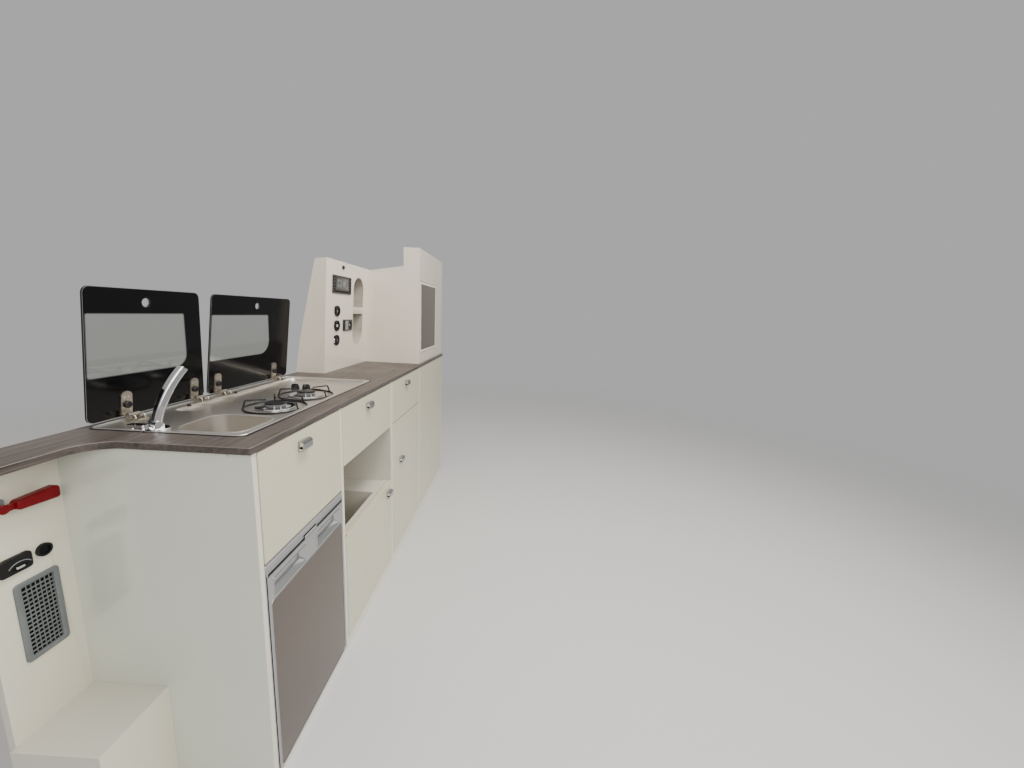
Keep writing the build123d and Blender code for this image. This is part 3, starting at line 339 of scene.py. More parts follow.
def all_materials(colours):
    """Every finish by name: those of the material slots, and a few more for fine pieces."""
    edge = colours.board_edge
    tower = colours.tower
    black = colours.black
    # Columns: finish, title, colour, edge band, low and high roughness, axis of the banded faces, coat
    boards = (
        ("board", "Cream board", colours.board, edge, 0.12, 0.24, ACROSS, 0.4),
        ("end_board", "Cream gloss end panel", colours.end_board, edge, 0.10, 0.2, ACROSS, 0.5),
        ("front", "Pale gloss front", colours.front, edge, 0.10, 0.2, ALONG, 0.4),
        ("tower", "Cream satin board", tower, tower, 0.16, 0.28, ACROSS, 0.4),
        ("drawer", "Drawer board", shade(colours.board, 0.92), edge, 0.35, 0.5, ACROSS, 0.0),
        ("door_frame", "Cream door frame", tower, edge, 0.2, 0.3, ACROSS, 0.0),
    )
    # Columns: finish, title, colour, roughness, stretch of the streaks
    brushed = (
        ("steel", "Zinc plated steel", (0.5, 0.5, 0.5), 0.38, (60.0, 60.0, 8.0)),
        ("stainless", "Brushed stainless", colours.stainless, 0.34, (4.0, 220.0, 220.0)),
        # The bowl's steel is painted darker than the plate's: painted shade from its dark surroundings
        ("pressed_steel", "Pressed bowl", shade(colours.stainless, 0.9), 0.38, (9.0, 9.0, 60.0)),
        ("strap", "Dull hinge steel", colours.strap, 0.36, (60.0, 60.0, 8.0)),
        ("silver", "Brushed silver", colours.silver, 0.24, (5.0, 260.0, 260.0)),
    )
    # Columns: finish, title, colour, low and high roughness
    polished = (
        ("chrome", "Chrome", colours.chrome, 0.03, 0.09),
        # The locks' chrome is painted darker: a painted reflection of dark surroundings
        ("lock", "Lock chrome", shade(colours.chrome, 0.52), 0.04, 0.10),
        ("burner", "Burner dish", (0.72, 0.72, 0.72), 0.08, 0.2),
        ("fridge_panel", "Dark mirror panel", colours.fridge_panel, 0.045, 0.11),
        ("mirror", "Bronze mirror", colours.mirror, 0.01, 0.03),
    )
    # Columns: finish, title, colour, low and high roughness, grain in millimetres, sheen
    moulded = (
        ("cast", "Cast burner head", (0.16, 0.16, 0.16), 0.4, 0.55, 0.1, 0.5),
        ("enamel", "Black enamel", shade(black, 0.7), 0.26, 0.38, 0.05, 0.35),
        ("black_plastic", "Black plastic", shade(black, 0.7), 0.34, 0.48, 0.05, 0.28),
        ("print", "Printed black", shade(black, 0.35), 0.08, 0.14, 0.01, 0.2),
        # Near black, laid in bores, recesses and openings as painted shade
        ("hollow", "Dark hollow", (0.004, 0.004, 0.004), 0.6, 0.8, 0.05, 0.2),
        ("rubber", "Black rubber", shade(black, 1.4), 0.55, 0.7, 0.08, 0.3),
        # The niche's moulding is the tower's cream painted darker: painted shade inside the recess
        ("niche", "Cream moulding", shade(tower, 0.58), 0.34, 0.46, 0.05, 0.35),
        ("shelf_front", "Cream shelf front", shade(tower, 0.84), 0.34, 0.46, 0.05, 0.35),
        ("display", "Display housing", (0.028, 0.029, 0.029), 0.28, 0.4, 0.05, 0.3),
        ("screen", "Display glass", (0.045, 0.047, 0.046), 0.12, 0.2, 0.01, 0.3),
        ("display_key", "Display keys", (0.15, 0.16, 0.155), 0.34, 0.46, 0.05, 0.3),
        ("key", "Grey plastic", (0.20, 0.21, 0.22), 0.3, 0.42, 0.05, 0.5),
        ("grille", "Grey grille", colours.grille, 0.38, 0.5, 0.08, 0.5),
        ("red_plastic", "Red plastic", colours.red, 0.28, 0.38, 0.05, 0.22),
        ("fridge_liner", "White liner", (0.74, 0.75, 0.76), 0.25, 0.36, 0.05, 0.5),
    )
    made = {
        "laminate": laminate_material(colours.laminate_dark, colours.laminate_light),
        "ply": ply_material(colours.ply),
        "glass": glass_material(colours.glass),
    }
    for rows, maker in (
        (boards, board_material), (brushed, brushed_material), (polished, polished_material),
        (moulded, moulded_material),
    ):
        for name, *row in rows:
            made[name] = maker(*row)
    return made


finishes = {}


def finish(name):
    """A finish by name, all of them made at the first call."""
    if not finishes:
        finishes.update(all_materials(bpy.context.scene.kitchen_colours))
    return finishes[name]


def dress(finish_name, *node_names):
    """Give frame nodes their finish."""
    for name in node_names:
        slots = frame["nodes"][name].material_slots
        for item in slots:
            item.material = finish(finish_name)
        if not slots:
            frame["nodes"][name].data.materials.append(finish(finish_name))


def soften(node_name, width):
    """Weld a frame node's facets and round its sharp arrises."""
    item = frame["nodes"][node_name]
    weld = item.modifiers.new("Weld", "WELD")
    weld.merge_threshold = 0.00001
    bevel = item.modifiers.new("Arris", "BEVEL")
    bevel.width = width
    bevel.segments = 2
    bevel.limit_method = "ANGLE"
    bevel.angle_limit = radians(50)
    bevel.harden_normals = True


# Outlines
def rounded_polygon(corners, radii, steps=8):
    """Points of a polygon with rounded corners, counterclockwise as its corners are."""
    points = []
    for i, (corner, radius) in enumerate(zip(corners, radii)):
        corner = Vector(corner)
        back = (Vector(corners[i - 1]) - corner).normalized()
        ahead = (Vector(corners[(i + 1) % len(corners)]) - corner).normalized()
        half = back.angle(ahead) / 2
        centre = corner + (back + ahead).normalized() * (radius / sin(half))
        start = corner + back * (radius / tan(half)) - centre
        for j in range(steps + 1):
            angle = atan2(start.y, start.x) + (pi - 2 * half) * j / steps
            points.append((centre.x + radius * cos(angle), centre.y + radius * sin(angle)))
    return points


def rounded_outline(width, height, radius, steps=8):
    """Points of a rounded rectangle round the origin, counterclockwise."""
    radius = min(radius, width / 2 - 1e-6, height / 2 - 1e-6)
    x = width / 2
    y = height / 2
    return rounded_polygon(((x, -y), (x, y), (-x, y), (-x, -y)), (radius,) * 4, steps)


def ellipse_outline(width, height, steps=40):
    angles = [tau * i / steps for i in range(steps)]
    return [(width / 2 * cos(angle), height / 2 * sin(angle)) for angle in angles]


def circle_outline(radius, steps=48):
    return ellipse_outline(2 * radius, 2 * radius, steps)


def dotted(outline, pitch, inset):
    """Places a pitch apart round an outline, a little inside it."""
    count = len(outline)
    places = []
    ahead = pitch / 2
    for i in range(count):
        start = Vector(outline[i])
        step = Vector(outline[(i + 1) % count]) - start
        if step.length < 1e-9:
            continue
        along = step.normalized()
        inward = Vector((-along.y, along.x))
        while ahead < step.length:
            places.append(tuple(start + along * ahead + inward * inset))
            ahead += pitch
        ahead -= step.length
    return places


# Places
def placed(origin, along, up):
    """A frame with x along, y up and z out of a face."""
    x = Vector(along).normalized()
    z = x.cross(Vector(up)).normalized()
    y = z.cross(x)
    return Matrix.Translation(origin) @ Matrix((x, y, z)).transposed().to_4x4()


def front_place(x, z, y):
    """A frame on a face that looks to the aisle."""
    return placed(Vector((x, y, z)), ALONG, UP)


def top_place(x, y, z):
    return placed(Vector((x, y, z)), ALONG, ACROSS)


def moved(place, x, y, z=0.0):
    return place @ Matrix.Translation((x, y, z))


def shifted(place, x, y, z=0.0):
    """A frame moved in its own axes by millimetres."""
    return moved(place, x * MM, y * MM, z * MM)


def spun(place, angle_deg):
    return place @ Matrix.Rotation(radians(angle_deg), 4, "Z")


def middle(node_name):
    low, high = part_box(node_name)
    return (low + high) / 2


def span(node_name):
    low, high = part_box(node_name)
    return high - low


# Shapes; each adds to a bmesh and returns it
def loft(bm, rings, closed=False):
    """Skin a row of rings that have the same number of points."""
    made = [[bm.verts.new(point) for point in ring] for ring in rings]
    pairs = list(zip(made, made[1:]))
    if closed:
        pairs.append((made[-1], made[0]))
    for a, b in pairs:
        for i in range(len(a)):
            j = (i + 1) % len(a)
            bm.faces.new((a[i], a[j], b[j], b[i]))
    if not closed:
        bm.faces.new(made[0][::-1])
        bm.faces.new(made[-1])
    return bm


def slice_ring(place, outline, height):
    return [place @ Vector((u, v, height)) for u, v in outline]


def prism(bm, place, outline, low, high, bevel=0.0, steps=3):
    """An outline raised from low to high, its upper edge rounded."""
    centre = Vector((sum(p[0] for p in outline), sum(p[1] for p in outline))) / len(outline)
    reach = max((Vector(p) - centre).length for p in outline)
    rings = [slice_ring(place, outline, low)]
    for i in range(steps + 1 if bevel else 1):
        angle = pi / 2 * i / steps
        inset = bevel * (1 - cos(angle))
        share = 1 - inset / reach
        shrunk = [tuple(centre + (Vector(p) - centre) * share) for p in outline]
        rings.append(slice_ring(place, shrunk, high - bevel + bevel * sin(angle)))
    return loft(bm, rings)


def plate(bm, place, wide, tall, radius, steps, low, high, bevel=0.0):
    """A rounded rectangle raised from low to high, in millimetres, with steps in each corner."""
    outline = rounded_outline(wide * MM, tall * MM, radius * MM, steps)
    return prism(bm, place, outline, low * MM, high * MM, bevel * MM)


def turned(bm, place, profile, steps, closed=False):
    """Turn a row of (radius, height) points, in millimetres, about the frame's z axis."""
    rings = []
    for radius, height in profile:
        rings.append(slice_ring(place, circle_outline(max(radius * MM, 1e-5), steps), height * MM))
    return loft(bm, rings, closed)


def turned_ring(bm, place, outer, inner, low, high):
    """A flat ring, in millimetres, with softened edges on its raised side."""
    soft = min(0.4, (high - low) / 2, (outer - inner) / 4)
    profile = (
        (outer, low), (outer, high - soft), (outer - soft, high), (inner + soft, high), (inner, high - soft),
        (inner, low),
    )
    return turned(bm, place, profile, 48, closed=True)


def plug(bm, place, radius, low, high, steps):
    """A round plug, in millimetres, with a chamfer of one millimetre."""
    profile = ((0, low), (radius, low), (radius, high - 1), (radius - 1, high), (0, high))
    return turned(bm, place, profile, steps)


def wire(bm, points, radius, sides, closed=False):
    """A round wire along a row of points."""
    count = len(points)
    rings = []
    side = None
    for i, point in enumerate(points):
        before = points[(i - 1) % count] if closed or i > 0 else point
        after = points[(i + 1) % count] if closed or i < count - 1 else point
        tangent = (after - before).normalized()
        if side is None:
            side = tangent.orthogonal().normalized()
        side = (side - tangent * side.dot(tangent)).normalized()
        other = tangent.cross(side)
        rings.append([point + side * u + other * v for u, v in circle_outline(radius, sides)])
    return loft(bm, rings, closed)


def bead(bm, place, width, height, radius, bead_width, bead_height, steps=7):
    """A half round ridge that follows a rounded rectangle."""
    rings = []
    for i in range(steps):
        angle = pi * i / (steps - 1)
        offset = bead_width / 2 * cos(angle)
        outline = rounded_outline(width + 2 * offset, height + 2 * offset, max(radius + offset, 0.0005), 10)
        rings.append(slice_ring(place, outline, bead_height * sin(angle)))
    return loft(bm, rings, closed=True)


def framed(bm, place, outer, inner, low, high):
    """A flat frame between two outlines with the same number of points."""
    rings = [slice_ring(place, outer, low), slice_ring(place, outer, high)]
    rings += [slice_ring(place, inner, high), slice_ring(place, inner, low)]
    return loft(bm, rings, closed=True)


def mesh_object(name, bm):
    """Turn a bmesh into an object of the scene."""
    mesh = bpy.data.meshes.new(name)
    bm.to_mesh(mesh)
    bm.free()
    made = bpy.data.objects.new(name, mesh)
    bpy.context.scene.collection.objects.link(made)
    return made


def piece(name, bm, finish_name, body="carcass", sharp_deg=38):
    """Turn a bmesh into a named piece that rides on a body."""
    bmesh.ops.remove_doubles(bm, verts=bm.verts, dist=1e-6)
    bmesh.ops.recalc_face_normals(bm, faces=bm.faces)
    made = mesh_object(name, bm)
    made.data.shade_smooth()
    made.data.set_sharp_from_angle(angle=radians(sharp_deg))
    made.data.materials.append(finish(finish_name))
    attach(made, body)
    return made


def cut(printed, bm):
    """Cut a closed shape out of a thin piece with a boolean, then apply it."""
    bmesh.ops.recalc_face_normals(bm, faces=bm.faces)
    tool = mesh_object("hole", bm)
    hole = printed.modifiers.new("Hole", "BOOLEAN")
    hole.operation = "DIFFERENCE"
    hole.solver = "EXACT"
    hole.object = tool
    graph = bpy.context.evaluated_depsgraph_get()
    result = bpy.data.meshes.new_from_object(printed.evaluated_get(graph))
    printed.modifiers.clear()
    printed.data = result
    bpy.data.objects.remove(tool)


# Boards and fronts
BOARD_NODES = (
    "rear_end_panel", "dividers", "base_board", "kick_rails", "shelf_boards", "wheel_box_step",
    "extension_panel", "low_box",
)
FRONT_NODES = ("flap_1", "drawer_2_front", "drawer_3_front", "door_2", "door_3", "column_4_panel")


def make_boards(sizes):
    dress("board", *BOARD_NODES)
    dress("end_board", "end_panel", "end_cap")
    dress("front", *FRONT_NODES)
    dress("ply", "back_panel")
    dress("drawer", "drawer_2_box", "drawer_3_box")
    dress("steel", "drawer_runners", "pivot_pins")
    for name in ("end_panel", *BOARD_NODES):
        soften(name, sizes.board_bevel)


# Sink
DECK_RADIUS = 22 * MM
DECK_BEAD_TALL = 1.3 * MM
DECK_BEAD_SIDE = 1.2 * MM
BEAD_FOOT = 0.1 * MM
SEAL_GROW = 2 * MM
SEAL_UNDER = 0.3 * MM
SEAL_HEIGHTS = (0.02 * MM, 0.9 * MM)
BOWL_RADIUS = 36 * MM
BOWL_LIP = 3 * MM
BOWL_BEAD = (7.5 * MM, 0.9 * MM)
STRAINER_TALL = 2.2 * MM
STRAINER_FOOT = 0.1 * MM
STRAINER_BARS = 6
# In millimetres: (radius, height) points of the strainer, and the outline of one of its bars
STRAINER = ((0, -1), (9.5, -1), (9.9, 0.2), (4, 1.6), (0, 1.9))
STRAINER_BAR = ((4.5, -0.6), (9.9, -0.6), (9.9, 0.6), (4.5, 0.6))


def make_sink(sizes):
    dress("stainless", "sink_hob_plate")
    # The bowl takes the darker steel, painted shade
    dress("pressed_steel", "sink_bowl")
    dress("chrome", "sink_waste")
    centre = middle("sink_hob_plate")
    size = span("sink_hob_plate")
    seal = sizes.seal_width
    outer = rounded_outline(size.x + 2 * seal, size.y + 2 * seal, DECK_RADIUS + SEAL_GROW, 10)
    inner = rounded_outline(size.x - 2 * SEAL_UNDER, size.y - 2 * SEAL_UNDER, DECK_RADIUS, 10)
    place = top_place(centre.x, centre.y, DATUM.z)
    piece("plate_seal", framed(bmesh.new(), place, outer, inner, *SEAL_HEIGHTS), "black_plastic")

    inset = sizes.bead_width / 2 + DECK_BEAD_SIDE
    for name, node_name, grow, radius, bead_sizes in (
        ("plate_rim_bead", "sink_hob_plate", -inset, DECK_RADIUS, (sizes.bead_width, DECK_BEAD_TALL)),
        ("bowl_rim_bead", "sink_bowl", BOWL_LIP, BOWL_RADIUS, BOWL_BEAD),
    ):
        spot = middle(node_name)
        wide, tall = (value + 2 * grow for value in span(node_name).xy)
        place = top_place(spot.x, spot.y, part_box("sink_hob_plate")[1].z - BEAD_FOOT)
        piece(name, bead(bmesh.new(), place, wide, tall, radius + grow, *bead_sizes), "stainless")

    waste = middle("sink_waste")
    place = top_place(waste.x, waste.y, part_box("sink_waste")[1].z - STRAINER_TALL)
    bm = turned(bmesh.new(), place, STRAINER, 32)
    for i in range(STRAINER_BARS):
        outline = [(x * MM, y * MM) for x, y in STRAINER_BAR]
        prism(bm, spun(place, 360 * i / STRAINER_BARS), outline, STRAINER_FOOT, STRAINER_TALL)
    piece("waste_strainer", bm, "chrome")


# Hob, in millimetres, with profiles as (radius, height) points
DISH = 55
HEAD = 29
DISH_PROFILE = (
    (0, 0.1), (DISH - 4, 0.1), (DISH, 1.2), (DISH, 3.4), (DISH - 1.6, 4.6), (DISH - 4.4, 4.4),
    (DISH - 10, 2.6), (HEAD + 10, 2.1), (HEAD + 4, 3.2), (HEAD, 5.2), (0, 5.2),
)
CAP_PROFILE = (
    (0, 12.8), (HEAD - 1.4, 12.8), (HEAD - 0.2, 13.6), (HEAD - 0.2, 15), (HEAD - 1.8, 16.2),
    (HEAD - 6, 16.8), (HEAD / 2, 17.6), (0, 17.9),
)
HEAD_TEETH = 30
TOOTH_DEEP = 2.4
# Columns: height, and whether the head's ring there has teeth
HEAD_RINGS = ((5.2, False), (8.8, False), (9.4, True), (12.4, True), (12.8, False))
# Columns: place round the burner in degrees, height
BURNER_PINS = ((205, 13), (235, 11))
KNOB = 15


def toothed_outline():
    """The burner head's outline, with a notch at every fourth point."""
    count = 4 * HEAD_TEETH
    radii = [HEAD * MM if i % 4 < 3 else (HEAD - TOOTH_DEEP) * MM for i in range(count)]
    return [(radius * cos(tau * i / count), radius * sin(tau * i / count)) for i, radius in enumerate(radii)]


def make_hob():
    low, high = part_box("burners")
    reach = DISH * MM
    outlines = (circle_outline((HEAD - 3) * MM, 4 * HEAD_TEETH), toothed_outline())
    for number, (x, y) in enumerate(((low.x + reach, low.y + reach), (high.x - reach, high.y - reach)), 1):
        place = top_place(x, y, low.z)
        dish_piece = piece(f"burner_dish_{number}", turned(bmesh.new(), place, DISH_PROFILE, 96), "burner")
        if number == 1:
            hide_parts("burners")
        rings = [slice_ring(place, outlines[teeth], height * MM) for height, teeth in HEAD_RINGS]
        piece(f"burner_head_{number}", loft(bmesh.new(), rings), "cast", sharp_deg=30)
        piece(f"burner_cap_{number}", turned(bmesh.new(), place, CAP_PROFILE, 72), "enamel")
        bm = bmesh.new()
        for angle_deg, tall in BURNER_PINS:
            profile = ((0, 0), (2.2, 0), (2.2, tall * 0.6), (1, tall * 0.65), (1, tall), (0, tall))
            turned(bm, shifted(spun(place, angle_deg), HEAD + 4, 0, 2), profile, 16)
        piece(f"burner_pins_{number}", bm, "steel")
    dress("enamel", "pan_supports")


def make_knobs():
    low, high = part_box("hob_knobs")
    tall = (high.z - low.z) / MM
    profile = (
        (0, 0), (KNOB, 0), (KNOB, 3), (KNOB - 1.5, 4.5), (KNOB - 2, tall - 6), (KNOB - 3.5, tall - 4.5),
        (0, tall - 4),
    )
    for number, y in enumerate((low.y + KNOB * MM, high.y - KNOB * MM), 1):
        place = top_place((low.x + high.x) / 2, y, low.z)
        bm = turned(bmesh.new(), place, profile, 48)
        plate(bm, spun(place, 90), 2 * KNOB - 7, 6.4, 3, 5, tall - 4.2, tall, 1.2)
        knob = piece(f"hob_knob_{number}", bm, "black_plastic")
        if number == 1:
            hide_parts("hob_knobs")
        mark = plate(bmesh.new(), shifted(place, 0, 6), 1, 7, 0.5, 2, tall - 0.1, tall + 0.1)
        piece(f"hob_knob_mark_{number}", mark, "fridge_liner")


# Lids
LID_LIFT = 18 * MM
LID_TAIL = 6 * MM
LID_DEPTH = 317 * MM
LID_HEAD = LID_DEPTH - LID_TAIL
LID_RADIUS = 16 * MM
HOLE_INSET = 33 * MM
HOLE_RADIUS = 11.3 * MM
HOLE_REACH = 2 * MM
# The window's upper far, upper near and lower near corner
WINDOW_CORNERS = (4 * MM, 4 * MM, 6 * MM)
PRINT_MARGIN = 0.8 * MM
PRINT_FOOT = 0.03 * MM
DOT_PITCH = 5.5 * MM
DOT_RADIUS = 1.5 * MM
DOT_INSET = 1.0 * MM
STRAP_HALF = 14 * MM
# Small parts of the straps and the deck, in millimetres, with profiles as (radius, height) points
STRAP_FACE = 3
STRAP_KNOB_UP = 24
RIVETS_UP = 43
RIVETS_ACROSS = (-5.5, 5.5)
STRAP_KNOB = ((0, 0), (8.8, 0), (9.4, 1.4), (9, 4.6), (7.4, 6.6), (4, 7.4), (3.6, 6.6), (0, 6.6))
RIVET = ((0, 0), (2.8, 0), (2.5, 0.8), (1.2, 1.1), (0, 0.6))
BUFFERS_X = (295, 480)
BUFFERS_Y = 381
BUFFER = ((0, 0), (5.5, 0), (5.5, 1.5), (4.5, 2.2), (4, 6), (2.8, 6.8), (0, 7))
# Columns, in millimetres: lid, width, taper of the near and the far side, the hole from the lid's near edge,
# foot of the top print, far edge of the clear window at its foot and head, radius of its lower far corner
LIDS = (
    (1, 336, 0, 28, 146, 251, 273, 258, 34),
    (2, 420, 10, 0, 221, 247, 302, 283, 48),
)


def lid_hinge(number):
    """The lid's hinge, and the direction up its open glass."""
    joint = next(j for j in frame["joints"] if j["name"] == f"lid_{number}_hinge")
    open_angle = radians(joint["range_deg"][1])
    return Vector(joint["pos_m"]), Vector((0, -cos(open_angle), sin(open_angle)))


def lid_outlines(width, near_taper, far_taper, head, far_foot, far_head, radius, sizes):
    """Outer and window outlines of the printed layer, with matching points."""
    foot = sizes.print_low
    margin = PRINT_MARGIN
    outer = rounded_polygon(
        (
            (width - margin, margin - LID_TAIL), (width - far_taper - margin, LID_HEAD - margin),
            (near_taper + margin, LID_HEAD - margin), (margin, margin - LID_TAIL),
        ),
        (LID_RADIUS - margin,) * 4, 10,
    )
    near = [near_taper * (height + LID_TAIL) / LID_DEPTH + sizes.print_edge for height in (head, foot)]
    inner = rounded_polygon(
        ((far_foot, foot), (far_head, head), (near[0], head), (near[1], foot)),
        (radius, *WINDOW_CORNERS), 10,
    )
    return outer, inner


def make_lids(sizes):
    layer = (PRINT_FOOT, PRINT_FOOT + sizes.print_thickness)
    for number, *row in LIDS:
        width, near_taper, far_taper, hole, head, far_foot, far_head, radius = (value * MM for value in row)
        body = f"lid_{number}"
        dress("glass", f"{body}_glass")
        dress("strap", f"{body}_straps")
        low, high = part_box(f"{body}_glass")
        # A side with no taper reaches the box, so the lid is placed from that side
        near_x = high.x - width if near_taper else low.x
        hinge, up = lid_hinge(number)
        # The glass lies behind the hinge line, its aisle face LID_LIFT from it
        face = moved(placed(Vector((near_x, hinge.y, hinge.z)), ALONG, up), 0, 0, -LID_LIFT)
        outer, inner = lid_outlines(width, near_taper, far_taper, head, far_foot, far_head, radius, sizes)
        bm = framed(bmesh.new(), face, outer, inner, *layer)
        printed = piece(f"{body}_print", bm, "print", body)
        hole_place = moved(face, hole, LID_HEAD - HOLE_INSET)
        cut(printed, prism(bmesh.new(), hole_place, circle_outline(HOLE_RADIUS), -HOLE_REACH, HOLE_REACH))
        # A fine row of printed dots softens the window's border
        bm = bmesh.new()
        for x, y in dotted(inner, DOT_PITCH, DOT_INSET):
            prism(bm, moved(face, x, y), circle_outline(DOT_RADIUS, 10), *layer)
        piece(f"{body}_dots", bm, "print", body)
        straps_low, straps_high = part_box(f"{body}_straps")
        for side, x in (("near", straps_low.x + STRAP_HALF), ("far", straps_high.x - STRAP_HALF)):
            strap = shifted(moved(face, x - near_x, 0), 0, 0, STRAP_FACE)
            bm = turned(bmesh.new(), shifted(strap, 0, STRAP_KNOB_UP), STRAP_KNOB, 40)
            piece(f"{body}_knob_{side}", bm, "black_plastic", body=body)
            bm = bmesh.new()
            for across in RIVETS_ACROSS:
                turned(bm, shifted(strap, across, RIVETS_UP), RIVET, 20)
            piece(f"{body}_rivets_{side}", bm, "steel", body=body)
    dress("strap", "hinge_feet")

    # Rubber buffers that the closed lids rest over
    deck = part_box("sink_hob_plate")[1].z
    for number, x in enumerate(BUFFERS_X, 1):
        place = top_place(DATUM.x + x * MM, DATUM.y + BUFFERS_Y * MM, deck)
        piece(f"deck_buffer_{number}", turned(bmesh.new(), place, BUFFER, 32), "rubber")


# Push locks
LOCK_BODIES = ("flap_1", "drawer_2", "drawer_3", "door_2", "door_3")
LOCK_HOLLOW = (9.5 * MM, 21.5 * MM)
LOCK_AXIS = 8 * MM
LOCK_BORE_RADIUS = 4.2 * MM
LOCK_BORE_LOW = 4.5 * MM
LOCK_BORE_HALF = 0.4 * MM


def make_locks(sizes):
    width, tall = LOCK_HOLLOW
    inset = sizes.lock_core_inset
    for body in LOCK_BODIES:
        name = f"lock_{body}"
        # The lock's body takes the darker chrome, a painted dark reflection
        dress("lock", name)
        low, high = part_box(name)
        place = placed(Vector((low.x, low.y + LOCK_AXIS, (low.z + high.z) / 2)), ACROSS, UP)
        long = high.x - low.x
        # A bright plug stands a little inside the oval hollow of each end, with a near-black disc low in it:
        # painted shade of its bore
        core = bmesh.new()
        bore = bmesh.new()
        for start, end, face in (
            (inset, sizes.lock_core_end, inset),
            (long - sizes.lock_core_end, long - inset, long - inset),
        ):
            prism(core, place, rounded_outline(width, tall, width / 2, 10), start, end)
            spot = moved(place, 0, -LOCK_BORE_LOW, face)
            prism(bore, spot, circle_outline(LOCK_BORE_RADIUS, 24), -LOCK_BORE_HALF, LOCK_BORE_HALF)
        piece(f"{name}_core", core, "chrome", body=body)
        piece(f"{name}_bore", bore, "hollow", body)


# Fridge
TRIM_LIP = 2.2 * MM
TRIM_LIP_PROUD = 1.2 * MM
TRIM_TALL = 21 * MM
SKIRT_TALL = 9 * MM
SKIRT_THICK = 12 * MM
SKIRT_BACK = 0.6 * MM
SKIRT_SIDE = 4 * MM
SKIRT_LATCH_GAP = 2 * MM
SKIRT_OVERLAP = 0.5 * MM
SKIRT_SOFT = 1 * MM
BAND_TALL = 71 * MM
PULL_SIDE = 22 * MM
PULL_HEAD = 16 * MM
PULL_TALL = 45 * MM
LATCH_HALF = 31 * MM
# The rims' corner radius, width and height
PULL_RIM_GROW = 2 * MM
PULL_RIM = (2 * MM, 2.2 * MM, 1.2 * MM)
PANEL_RIM_GROW = 2.4 * MM
PANEL_RIM = (11 * MM, 2.4 * MM, 1 * MM)
GASKET_INSET = 6 * MM
GASKET_CORNERS = (12 * MM, 6 * MM)
GASKET_DEEP = 3.2 * MM
GASKET_FACE = 0.1 * MM
CABINET_WALL = 30 * MM
SHELF_FRONT = 20 * MM
SHELF_BACK = 4 * MM
SHELF_HEIGHTS = (150, 290, 430)
SHELF_SPACES = 17
SHELF_SIDE = 3 * MM
SHELF_CORNER = 8 * MM
FRAME_WIRE = 2.2 * MM
SHELF_WIRE = 1.3 * MM
RIB_UNDER = 7.2 * MM
RIB_WIDE = 6.2 * MM
RIB_CORNER = 2.8 * MM
RIB_TALL = 5 * MM
RIB_SOFT = 1 * MM


